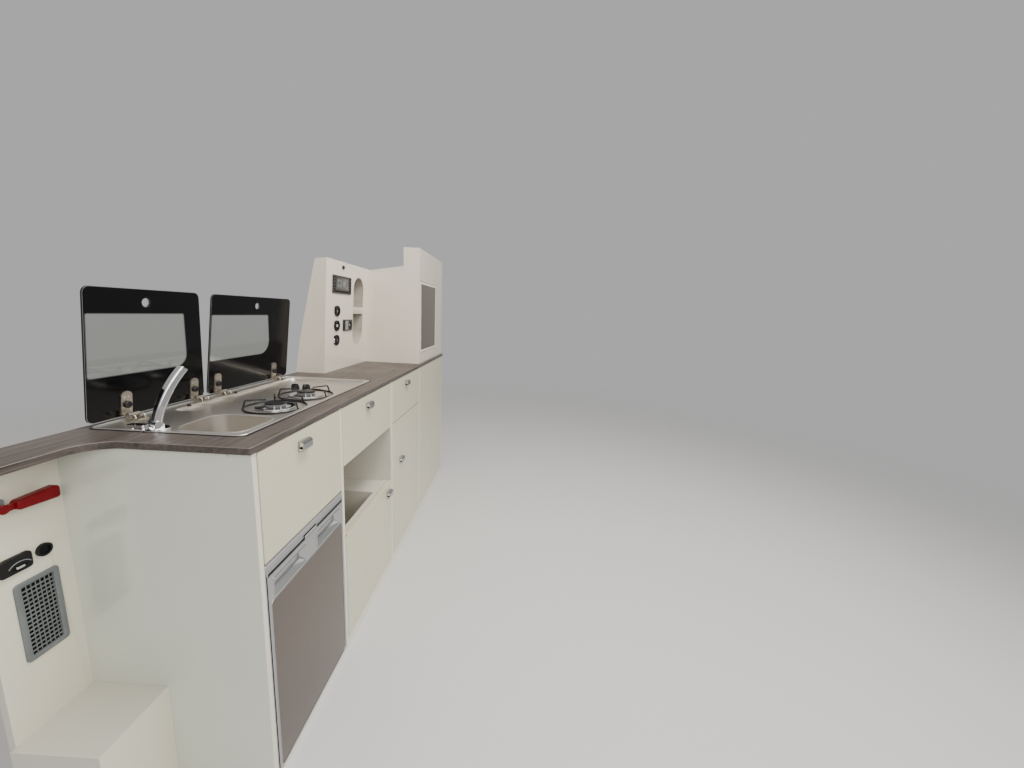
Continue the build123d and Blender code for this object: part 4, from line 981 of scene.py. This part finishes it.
def make_fridge(sizes):
    dress("silver", "fridge_frame", "fridge_door")
    dress("fridge_panel", "fridge_door_panel")
    dress("fridge_liner", "fridge_cabinet")

    # A bright lip along the trim over the door
    low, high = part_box("fridge_frame")
    centre = (low.x + high.x) / 2
    place = front_place(centre, high.z - 2 * TRIM_LIP, low.y)
    lip = rounded_outline(high.x - low.x - 1 * MM, TRIM_LIP, TRIM_LIP / 2, 4)
    bm = prism(bmesh.new(), place, lip, 0.0, TRIM_LIP_PROUD, TRIM_LIP_PROUD / 2)
    piece("fridge_trim_lip", bm, "chrome")

    # A set back darker grey strip under the trim, on each side of the latch: painted shade of the trim's
    # lower band
    skirt_z = high.z - TRIM_TALL - SKIRT_TALL / 2 + SKIRT_OVERLAP
    side = LATCH_HALF + SKIRT_LATCH_GAP
    bm = bmesh.new()
    for x0, x1 in ((low.x + SKIRT_SIDE, centre - side), (centre + side, high.x - SKIRT_SIDE)):
        spot = front_place((x0 + x1) / 2, skirt_z, low.y + SKIRT_BACK + SKIRT_THICK)
        outline = rounded_outline(x1 - x0, SKIRT_TALL + 2 * SKIRT_OVERLAP, SKIRT_SOFT, 3)
        prism(bm, spot, outline, 0.0, SKIRT_THICK, SKIRT_SOFT)
    piece("fridge_trim_skirt", bm, "key")

    # Moulded rims of the two finger pulls
    door_low, door_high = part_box("fridge_door")
    door_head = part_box("fridge_door_panel")[1].z + BAND_TALL
    pull_z = door_head - PULL_HEAD - PULL_TALL / 2
    near = (door_low.x + PULL_SIDE, centre - LATCH_HALF)
    far = (centre + LATCH_HALF, door_high.x - PULL_SIDE)
    bm = bmesh.new()
    for x0, x1 in (near, far):
        spot = front_place((x0 + x1) / 2, pull_z, door_low.y)
        bead(bm, spot, x1 - x0 + PULL_RIM_GROW, PULL_TALL + PULL_RIM_GROW, *PULL_RIM)
    piece("fridge_pull_rims", bm, "silver", body="fridge_door")

    # A thin bright frame round the dark panel
    panel = middle("fridge_door_panel")
    wide, tall = (value + PANEL_RIM_GROW for value in span("fridge_door_panel").xz)
    rim = bead(bmesh.new(), front_place(panel.x, panel.z, door_low.y), wide, tall, *PANEL_RIM)
    piece("fridge_panel_rim", rim, "silver", body="fridge_door")

    # The rubber seal behind the door
    wide = door_high.x - door_low.x - 2 * GASKET_INSET
    tall = door_head - door_low.z - 2 * GASKET_INSET
    foot = door_low.z + GASKET_INSET
    place = front_place(middle("fridge_door").x, foot + tall / 2, door_high.y + GASKET_DEEP)
    both = 2 * sizes.gasket_width
    outer = rounded_outline(wide, tall, GASKET_CORNERS[0])
    inner = rounded_outline(wide - both, tall - both, GASKET_CORNERS[1])
    gasket = framed(bmesh.new(), place, outer, inner, GASKET_FACE, GASKET_DEEP - GASKET_FACE)
    piece("fridge_seal", gasket, "rubber", "fridge_door")

    # Wire shelves on ribs inside the cabinet
    cabinet_low, cabinet_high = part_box("fridge_cabinet")
    x0 = cabinet_low.x + CABINET_WALL
    x1 = cabinet_high.x - CABINET_WALL
    y0 = cabinet_low.y + SHELF_FRONT
    y1 = cabinet_high.y - CABINET_WALL - SHELF_BACK
    near = x0 + SHELF_SIDE
    far = x1 - SHELF_SIDE
    corners = ((near, y0), (far, y0), (far, y1), (near, y1))
    shelves = bmesh.new()
    ribs = bmesh.new()
    for height in SHELF_HEIGHTS:
        z = cabinet_low.z + height * MM
        for x in (near, far):
            rib = top_place(x, (y0 + y1) / 2, z - RIB_UNDER)
            prism(ribs, rib, rounded_outline(RIB_WIDE, y1 - y0, RIB_CORNER, 4), 0.0, RIB_TALL, RIB_SOFT)
        loop = [Vector((x, y, z)) for x, y in rounded_polygon(corners, (SHELF_CORNER,) * 4, 6)]
        wire(shelves, loop, FRAME_WIRE, 10, closed=True)
        for i in range(1, SHELF_SPACES):
            x = x0 + (x1 - x0) * i / SHELF_SPACES
            wire(shelves, [Vector((x, y0, z)), Vector((x, y1, z))], SHELF_WIRE, 8)
    piece("fridge_shelves", shelves, "steel")
    piece("fridge_shelf_ribs", ribs, "fridge_liner")


# Tower, in millimetres from the datum
TOWER_FOOT_Y = 323
TOWER_LEAN = 29
TOWER_TALL = 510
SOCKETS_X = 1065
SOCKETS_UP = (281, 213, 145)
SOCKET_PROUD = 6
TWIN_PLACE = (1178, 213)
TWIN_FAR = 23.75
BUTTON_PLACE = (1118, 485)
BUTTON_PROUD = 5
# Plates: width, height, corner radius, steps in a corner, foot, head and bevel
# Rings: outer and inner radius, foot and head
SOCKET_LIP = (23.2, 18.5, 0, 1.2)
SOCKET_FACE = (17.8, 12.5, 0.04, 0.7)
SOCKET_TAB_PLACE = (-20.5, 16.5)
SOCKET_TAB = (9, 11, 3, 4, -4, 1.6, 0.8)
CATCH_PLACE = (-27, -2)
CATCH = (7.5, 22, 3.6, 6, 0.05, 6.5, 2)
TWIN_RIM = (20.5, 12.2, 0, 1.2)
TWIN_BAR_X = -39.5
TWIN_BAR = (10, 50, 2, 4, 0.02, 1.6)
TWIN_PLATE_X = -16.5
TWIN_PLATE = (32, 44, 3, 4, 0.02, 1.2, 0.4)
# The contact's radius, foot and head
TWIN_CONTACT = (6.2, -10, -1.5)
BUTTON_RING = (8.5, 6.2, 0, 0.9)
DISPLAY_PLACE = (1110, 403)
DISPLAY_PROUD = 4
# The frame's outer and inner width, height and corner radius, and its foot and head
DISPLAY_FRAME = ((186, 79.5, 3), (178, 71.5, 2))
DISPLAY_FRAME_HEIGHTS = (0.02 * MM, 1.6 * MM)
DETAIL_FOOT = 0.03 * MM
# Columns, from the display's middle: finish, x, heights, width, tall, corner radius, thickness
DISPLAY_DETAILS = (
    ("hollow", -80, (3,), 13, 62, 1.5, 0.4),
    ("screen", -1, (5,), 136, 54, 2, 0.6),
    ("display_key", -46, (15,), 20, 17, 2, 1.1),
    ("display_key", -46, (-6,), 20, 15, 2, 1.1),
    ("display_key", -20, (15,), 14, 17, 2, 1.1),
    ("display_key", -20, (-6,), 14, 15, 2, 1.1),
    ("display_key", 14, (5,), 30, 30, 13, 1.0),
    ("display_key", 44, (19, 5, -9), 9, 9, 4.4, 1.2),
    ("fridge_liner", -80, (26, 12, -2, -16), 4, 1.6, 0.6, 0.7),
    ("hollow", 78, (3,), 14, 62, 2, 0.4),
    ("display_key", 78, (24, 10, -4, -18), 6, 5, 1, 1.2),
    ("hollow", 0, (-31,), 150, 7, 2, 0.3),
)
# Columns, from a round socket's face: finish, radius, foot and head
SOCKET_CENTRES = (
    ("display_key", 8.0, -9, -2.5), ("fridge_liner", 6.5, -9, -1.0), ("display", 10.6, -9, 1.0),
)
NICHE_PLACE = (1304, 284)
NICHE_MOUTH = (128 * MM, 342 * MM)
NICHE_RIM_GROW = 3 * MM
NICHE_RIM_CORNER = NICHE_MOUTH[0] / 2 + 1.4 * MM
NICHE_RIM = (3 * MM, 0.9 * MM)
NICHE_FRONT_PLACE = (1304, 285.5)
NICHE_FRONT = (126, 34, 1, 3, 0.03, 0.6, 0.3)


def tower_place(x, height, proud=0.0):
    """A frame on the tower's leaning face, at a place in millimetres from the datum."""
    y = TOWER_FOOT_Y - TOWER_LEAN * height / TOWER_TALL
    slope = Vector((0, -TOWER_LEAN, TOWER_TALL))
    return shifted(placed(DATUM + Vector((x, y, height)) * MM, ALONG, slope), 0, 0, proud)


def make_display():
    """A raised bevelled frame, the strips at its sides, the screen and its keys."""
    face = tower_place(*DISPLAY_PLACE, DISPLAY_PROUD)
    outer, inner = (rounded_outline(*(value * MM for value in row)) for row in DISPLAY_FRAME)
    piece("display_frame", framed(bmesh.new(), face, outer, inner, *DISPLAY_FRAME_HEIGHTS), "display")
    groups = {}
    for finish_name, x, heights, wide, tall, radius, thick in DISPLAY_DETAILS:
        bm = groups.setdefault(finish_name, bmesh.new())
        outline = rounded_outline(wide * MM, tall * MM, radius * MM, 5)
        for up in heights:
            bevel = min(0.2, thick / 2) * MM
            prism(bm, shifted(face, x, up), outline, DETAIL_FOOT, thick * MM, bevel, 2)
    for finish_name, bm in groups.items():
        piece(f"display_{finish_name}", bm, finish_name)


def make_sockets():
    """Round sockets, each with a raised lip, a cap plate with its hinge and a contact, and a twin socket."""
    faces = [tower_place(SOCKETS_X, up, SOCKET_PROUD) for up in SOCKETS_UP]
    for number, face in enumerate(faces, 1):
        bm = turned_ring(bmesh.new(), face, *SOCKET_LIP)
        plate(bm, shifted(face, *SOCKET_TAB_PLACE), *SOCKET_TAB)
        piece(f"socket_cap_{number}", bm, "black_plastic")
        bm = turned_ring(bmesh.new(), face, *SOCKET_FACE)
        piece(f"socket_plate_{number}", bm, "hollow")
    for number, (face, (finish_name, *row)) in enumerate(zip(faces, SOCKET_CENTRES), 1):
        piece(f"socket_centre_{number}", plug(bmesh.new(), face, *row, 40), finish_name)
    # The bright end of the lowest socket's catch
    spot = tower_place(SOCKETS_X + CATCH_PLACE[0], SOCKETS_UP[2] + CATCH_PLACE[1])
    piece("socket_catch", plate(bmesh.new(), spot, *CATCH), "chrome")

    # Twin socket: a plate over the near half with a dark bar, a rim and a contact in the far half
    face = tower_place(*TWIN_PLACE, SOCKET_PROUD)
    far = shifted(face, TWIN_FAR, 0)
    bm = plate(turned_ring(bmesh.new(), far, *TWIN_RIM), shifted(face, TWIN_BAR_X, 0), *TWIN_BAR)
    piece("twin_socket_rims", bm, "black_plastic")
    bm = plate(bmesh.new(), shifted(face, TWIN_PLATE_X, 0), *TWIN_PLATE)
    piece("twin_socket_plate", bm, "key")
    piece("twin_socket_contact", plug(bmesh.new(), far, *TWIN_CONTACT, 24), "steel")


def make_tower():
    dress("tower", "tower_shell")
    # The niche takes the darker cream, painted shade inside it
    dress("niche", "tower_niche")
    dress("display", "display_panel", "twin_socket")
    dress("black_plastic", "round_sockets", "tower_button")
    make_display()
    make_sockets()

    # A fine step in the button's cap
    button = tower_place(*BUTTON_PLACE, BUTTON_PROUD)
    piece("button_ring", turned_ring(bmesh.new(), button, *BUTTON_RING), "black_plastic")

    # A soft rim round the niche's mouth and a pale front on its shelf
    wide, tall = (value + NICHE_RIM_GROW for value in NICHE_MOUTH)
    rim = bead(bmesh.new(), tower_place(*NICHE_PLACE), wide, tall, NICHE_RIM_CORNER, *NICHE_RIM)
    piece("niche_rim", rim, "tower")
    front = plate(bmesh.new(), tower_place(*NICHE_FRONT_PLACE), *NICHE_FRONT)
    piece("niche_shelf_front", front, "shelf_front")


# Front extension
VENT_RADIUS = 8 * MM
VENT_BORDER = 11 * MM
VENT_CORNER = 2.5 * MM
VENT_ROWS = 16
VENT_COLUMNS = 7
VENT_RIB = 1.5 * MM
VENT_SLAT = 2.9 * MM
VENT_DEEP = 1.6 * MM
VENT_SLAT_BACK = 0.8 * MM
VENT_RIB_BACK = VENT_SLAT_BACK + 0.3 * MM
VENT_RIB_DEEP = VENT_DEEP - 0.4 * MM
VENT_OVERLAP = 1 * MM
# The corner radius and the bevel of each rib and slat
VENT_RIB_SOFT = (0.2 * MM, 0.3 * MM)
VENT_SLAT_SOFT = (0.8 * MM, 0.5 * MM)
# Columns, in millimetres: how far inside the border's outer edge, how far below its face
VENT_OUTER = ((0, None), (0, 1.2), (0.4, 0.4), (1.2, 0))
# Columns, in millimetres: how far outside the opening's edge, how far below the border's face
VENT_INNER = ((1.4, 0), (0.4, 0.6), (0, 1.4), (0, None))
# The near-black plate of painted shade behind the vent
SHADE_BACKING_GAP = 0.6 * MM
SHADE_BACKING_CORNER = 0.4 * MM
SHADE_BACKING_BACK = 0.5 * MM
SHADE_BACKING_DEEP = 14.2 * MM
# (Radius, height) points, in millimetres
OUTLET_PLUG = ((0, -4), (9.8, -4), (9.8, 1.2), (8.8, 2.2), (6.6, 2.2), (6, 1.6), (0, 1.6))
# The arc's centre and half sizes, in millimetres from the inlet's middle, then its start and turn in degrees
INLET_ARC = (4.5, -10, 19.5, 15)
INLET_ARC_ANGLES = (155, -130)
INLET_ARC_STEPS = 12
INLET_ARC_PROUD = 0.3
INLET_ARC_WIRE = 0.9 * MM
INLET_RECESS_PLACE = (4.5, -6.5)
INLET_RECESS = (26 * MM, 10.5 * MM)
# The recess's foot, head and bevel
INLET_RECESS_HEIGHTS = (0.03 * MM, 0.8 * MM, 0.4 * MM)
# Plates, in millimetres: width, height, corner radius, steps in a corner, foot, head and bevel
INLET_CONTACT_PLACE = (0, -0.5, 0.6)
INLET_CONTACT = (14, 4.6, 1.8, 5, 0, 1, 0.4)
BRACKET_PLACE = (9, 2)
BRACKET = (34, 26, 6, 6, 0.05, 6, 1.5)


def make_vent():
    """The grille as a softened frame with crossing ribs, over a near-black plate of painted shade."""
    low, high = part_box("vent_grille")
    centre = (low + high) / 2
    size = high - low
    thick = size.y
    face = front_place(centre.x, centre.z, high.y)
    wide = size.x - 2 * VENT_BORDER
    tall = size.z - 2 * VENT_BORDER
    rings = []
    for base_wide, base_tall, radius, sign, rows in (
        (size.x, size.z, VENT_RADIUS, -1, VENT_OUTER), (wide, tall, VENT_CORNER, 1, VENT_INNER),
    ):
        for offset, below in rows:
            grow = sign * offset * MM
            outline = rounded_outline(base_wide + 2 * grow, base_tall + 2 * grow, radius + grow, 8)
            rings.append(slice_ring(face, outline, 0.0 if below is None else thick - below * MM))
    bm = loft(bmesh.new(), rings, closed=True)
    corner, bevel = VENT_RIB_SOFT
    outline = rounded_outline(VENT_RIB, tall + VENT_OVERLAP, corner, 2)
    top = thick - VENT_RIB_BACK
    for i in range(1, VENT_COLUMNS):
        spot = moved(face, wide * (i / VENT_COLUMNS - 0.5), 0)
        prism(bm, spot, outline, top - VENT_RIB_DEEP, top, bevel, 2)
    corner, bevel = VENT_SLAT_SOFT
    outline = rounded_outline(wide + VENT_OVERLAP, VENT_SLAT, corner, 3)
    top = thick - VENT_SLAT_BACK
    for i in range(1, VENT_ROWS):
        spot = moved(face, 0, tall * (i / VENT_ROWS - 0.5))
        prism(bm, spot, outline, top - VENT_DEEP, top, bevel, 3)
    grille = piece("grille_frame", bm, "grille")
    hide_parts("vent_grille")

    # A near-black plate closes the opening in the panel behind the ribs: painted shade of the space behind
    # the vent
    spot = front_place(centre.x, centre.z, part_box("extension_panel")[1].y - SHADE_BACKING_BACK)
    backing_outline = rounded_outline(wide - SHADE_BACKING_GAP, tall - SHADE_BACKING_GAP, SHADE_BACKING_CORNER, 2)
    piece("grille_inlay", prism(bmesh.new(), spot, backing_outline, 0.0, SHADE_BACKING_DEEP), "hollow")


def make_extension():
    make_vent()
    dress("black_plastic", "round_outlet", "power_inlet")
    dress("red_plastic", "red_handle")

    # The outlet's bore is closed by a near-black plug with a fine step: painted shade of the bore's inside
    outlet = middle("round_outlet")
    face = front_place(outlet.x, outlet.z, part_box("round_outlet")[1].y)
    piece("outlet_plug", turned(bmesh.new(), face, OUTLET_PLUG, 40), "hollow")

    # The inlet's hinged flap: an arched lip over a near-black ellipse, painted shade of a recess, with a
    # metal contact
    inlet = middle("power_inlet")
    face = front_place(inlet.x, inlet.z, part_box("power_inlet")[0].y)
    x, y, half_wide, half_tall = INLET_ARC
    start, turn = INLET_ARC_ANGLES
    arc = []
    for i in range(INLET_ARC_STEPS + 1):
        angle = radians(start + turn * i / INLET_ARC_STEPS)
        point = Vector((x + half_wide * cos(angle), y + half_tall * sin(angle), INLET_ARC_PROUD))
        arc.append(face @ (point * MM))
    piece("inlet_arc", wire(bmesh.new(), arc, INLET_ARC_WIRE, 10), "key")
    spot = shifted(face, *INLET_RECESS_PLACE)
    recess = prism(bmesh.new(), spot, ellipse_outline(*INLET_RECESS), *INLET_RECESS_HEIGHTS)
    piece("inlet_recess", recess, "hollow")
    contact = plate(bmesh.new(), shifted(spot, *INLET_CONTACT_PLACE), *INLET_CONTACT)
    piece("inlet_contact", contact, "chrome")

    # Bracket behind the red grip's neck
    low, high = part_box("red_handle")
    spot = shifted(front_place(low.x, (low.z + high.z) / 2, high.y), *BRACKET_PLACE)
    piece("handle_bracket", plate(bmesh.new(), spot, *BRACKET), "key")


# Stage
WARM = (1.0, 0.97, 0.93)
NEUTRAL = (1.0, 0.99, 0.97)
SKY = (1.0, 0.985, 0.96)
# Columns, in metres: light, width, height, place, aim, colour
LIGHTS = (
    ("key", 2.4, 1.8, (-3.6, -1.9, 2.3), (-0.5, 0.0, 0.8), WARM),
    ("side", 2.4, 1.6, (-0.7, -3.0, 2.2), (-0.3, 0.0, 0.7), NEUTRAL),
    ("top", 1.3, 0.6, (-0.5, -1.0, 2.8), (-0.3, -0.1, 0.6), WARM),
)
SENSOR_WIDTH = 36.0


def make_floor(settings):
    """A round floor whose rim fades out, so that it has no horizon."""
    bm = bmesh.new()
    bmesh.ops.create_circle(bm, cap_ends=True, cap_tris=True, segments=96, radius=settings.floor_fade)
    bmesh.ops.subdivide_edges(bm, edges=[e for e in bm.edges if not e.is_boundary], cuts=6)
    material, tree, shader = plain("Studio floor", 0.6, Specular_IOR_Level=0.3)
    shader.inputs["Base Color"].default_value = (*settings.floor, 1)
    smeared(tree, shader, 0.8, 0.55, 0.65)
    place = node(tree, "ShaderNodeTexCoord").outputs["Object"]
    away = node(tree, "ShaderNodeVectorMath", {0: place}, operation="LENGTH")
    fade = node(
        tree, "ShaderNodeMapRange",
        {"Value": away.outputs["Value"], "From Min": settings.floor_radius, "From Max": settings.floor_fade,
         "To Min": 1.0, "To Max": 0.0},
        interpolation_type="SMOOTHSTEP",
    )
    tree.links.new(fade.outputs[0], shader.inputs["Alpha"])
    floor = mesh_object("studio_floor", bm)
    floor.data.materials.append(material)


def make_light(name, power, width, height, spot, aim, colour):
    data = bpy.data.lights.new(name, "AREA")
    data.shape = "RECTANGLE"
    data.size = width
    data.size_y = height
    data.energy = power
    data.color = colour
    light = bpy.data.objects.new(name, data)
    bpy.context.scene.collection.objects.link(light)
    light.location = spot
    light.rotation_mode = "QUATERNION"
    light.rotation_quaternion = (Vector(aim) - Vector(spot)).to_track_quat("-Z", "Y")


def make_world(settings):
    """Soft surroundings, brighter above; the camera sees one even tone behind the object."""
    world = bpy.data.worlds.new("Studio")
    bpy.context.scene.world = world
    world.use_nodes = True
    tree = world.node_tree
    place = node(tree, "ShaderNodeTexCoord").outputs["Generated"]
    split = node(tree, "ShaderNodeSeparateXYZ", {0: place})
    height = node(
        tree, "ShaderNodeMapRange",
        {"Value": split.outputs["Z"], "From Min": -0.1, "From Max": 0.8, "To Min": settings.sky_low,
         "To Max": settings.sky_high},
    )
    background = tree.nodes["Background"]
    background.inputs["Color"].default_value = (*SKY, 1)
    tree.links.new(height.outputs[0], background.inputs["Strength"])
    seen = node(tree, "ShaderNodeBackground", {"Color": (*settings.backdrop, 1), "Strength": 1.0})
    ray = node(tree, "ShaderNodeLightPath").outputs["Is Camera Ray"]
    mix = node(tree, "ShaderNodeMixShader", {0: ray, 1: background, 2: seen})
    tree.links.new(mix.outputs[0], tree.nodes["World Output"].inputs["Surface"])


def make_camera(settings):
    """The camera at the photo's viewpoint."""
    data = bpy.data.cameras.new("Camera")
    data.lens = settings.camera_lens
    data.sensor_width = SENSOR_WIDTH
    data.clip_start = 0.01
    camera = bpy.data.objects.new("Camera", data)
    bpy.context.scene.collection.objects.link(camera)
    yaw = settings.camera_yaw
    pitch = settings.camera_pitch
    roll = settings.camera_roll
    forward = Vector((cos(pitch) * cos(yaw), cos(pitch) * sin(yaw), -sin(pitch)))
    right = forward.cross(UP).normalized()
    down = forward.cross(right)
    across = cos(roll) * right + sin(roll) * down
    below = -sin(roll) * right + cos(roll) * down
    turn = Matrix((across, -below, -forward)).transposed()
    spot = DATUM + Vector((settings.camera_x, settings.camera_y, settings.camera_z))
    camera.matrix_world = Matrix.Translation(spot) @ turn.to_4x4()
    bpy.context.scene.camera = camera


# Operators
class KITCHEN_OT_stage(bpy.types.Operator):
    """Plain pale floor, soft studio lights and the camera at the photo's viewpoint"""
    bl_idname = "kitchen.stage"
    bl_label = "Stage"

    def execute(self, context):
        settings = context.scene.kitchen_stage
        make_floor(settings)
        make_world(settings)
        for name, *row in LIGHTS:
            make_light(f"{name}_light", getattr(settings, f"{name}_power"), *row)
        make_camera(settings)
        return {"FINISHED"}


class KITCHEN_OT_boards(bpy.types.Operator):
    """Cream boards, gloss fronts, drawer boxes and their runners"""
    bl_idname = "kitchen.boards"
    bl_label = "Boards and fronts"

    def execute(self, context):
        make_boards(context.scene.kitchen_sizes)
        return {"FINISHED"}


class KITCHEN_OT_worktop(bpy.types.Operator):
    """Streaked laminate worktop"""
    bl_idname = "kitchen.worktop"
    bl_label = "Worktop"

    def execute(self, context):
        dress("laminate", "worktop")
        return {"FINISHED"}


class KITCHEN_OT_sink(bpy.types.Operator):
    """Pressed steel plate with its seal, rims and strainer"""
    bl_idname = "kitchen.sink"
    bl_label = "Sink plate"

    def execute(self, context):
        make_sink(context.scene.kitchen_sizes)
        return {"FINISHED"}


class KITCHEN_OT_hob(bpy.types.Operator):
    """Burners, pan supports and knobs"""
    bl_idname = "kitchen.hob"
    bl_label = "Hob"

    def execute(self, context):
        make_hob()
        make_knobs()
        return {"FINISHED"}


class KITCHEN_OT_lids(bpy.types.Operator):
    """Glass lids with their printed borders, straps and knobs"""
    bl_idname = "kitchen.lids"
    bl_label = "Glass lids"

    def execute(self, context):
        make_lids(context.scene.kitchen_sizes)
        return {"FINISHED"}


class KITCHEN_OT_tap(bpy.types.Operator):
    """Folding tap"""
    bl_idname = "kitchen.tap"
    bl_label = "Tap"

    def execute(self, context):
        dress("chrome", "tap_base", "tap_lever", "tap_spout")
        return {"FINISHED"}


class KITCHEN_OT_locks(bpy.types.Operator):
    """Push locks of the flap, the drawers and the doors"""
    bl_idname = "kitchen.locks"
    bl_label = "Push locks"

    def execute(self, context):
        make_locks(context.scene.kitchen_sizes)
        return {"FINISHED"}


class KITCHEN_OT_fridge(bpy.types.Operator):
    """Fridge frame, door and cabinet"""
    bl_idname = "kitchen.fridge"
    bl_label = "Fridge"

    def execute(self, context):
        make_fridge(context.scene.kitchen_sizes)
        return {"FINISHED"}


class KITCHEN_OT_tower(bpy.types.Operator):
    """Control tower with its display, sockets and niche"""
    bl_idname = "kitchen.tower"
    bl_label = "Control tower"

    def execute(self, context):
        make_tower()
        return {"FINISHED"}


class KITCHEN_OT_wardrobe(bpy.types.Operator):
    """Wardrobe with its mirror door"""
    bl_idname = "kitchen.wardrobe"
    bl_label = "Wardrobe"

    def execute(self, context):
        dress("tower", "wardrobe_sides", "wardrobe_top", "wardrobe_face")
        dress("door_frame", "wardrobe_door")
        dress("mirror", "wardrobe_mirror")
        return {"FINISHED"}


class KITCHEN_OT_extension(bpy.types.Operator):
    """Front extension with the vent, the outlets and the red handle"""
    bl_idname = "kitchen.extension"
    bl_label = "Front extension"

    def execute(self, context):
        make_extension()
        return {"FINISHED"}


STEPS = (
    KITCHEN_OT_boards, KITCHEN_OT_worktop, KITCHEN_OT_sink, KITCHEN_OT_hob, KITCHEN_OT_lids, KITCHEN_OT_tap,
    KITCHEN_OT_locks, KITCHEN_OT_fridge, KITCHEN_OT_tower, KITCHEN_OT_wardrobe, KITCHEN_OT_extension,
    KITCHEN_OT_stage,
)
SETTINGS = (
    ("kitchen_sizes", KitchenSizes), ("kitchen_colours", KitchenColours), ("kitchen_stage", KitchenStage),
)


class KITCHEN_PT_panel(bpy.types.Panel):
    """Kitchen unit steps"""
    bl_idname = "KITCHEN_PT_panel"
    bl_label = "Kitchen unit"
    bl_space_type = "VIEW_3D"
    bl_region_type = "UI"
    bl_category = "Kitchen unit"

    def draw(self, context):
        for step in STEPS:
            self.layout.operator(step.bl_idname)


def register():
    for name, settings in SETTINGS:
        bpy.utils.register_class(settings)
        setattr(bpy.types.Scene, name, PointerProperty(type=settings))
    for step in STEPS:
        bpy.utils.register_class(step)
    bpy.utils.register_class(KITCHEN_PT_panel)


def unregister():
    bpy.utils.unregister_class(KITCHEN_PT_panel)
    for step in reversed(STEPS):
        bpy.utils.unregister_class(step)
    for name, settings in reversed(SETTINGS):
        delattr(bpy.types.Scene, name)
        bpy.utils.unregister_class(settings)


def main():
    register()
    for step in STEPS:
        group, name = step.bl_idname.split(".")
        getattr(getattr(bpy.ops, group), name)()


if __name__ == "__main__":
    main()
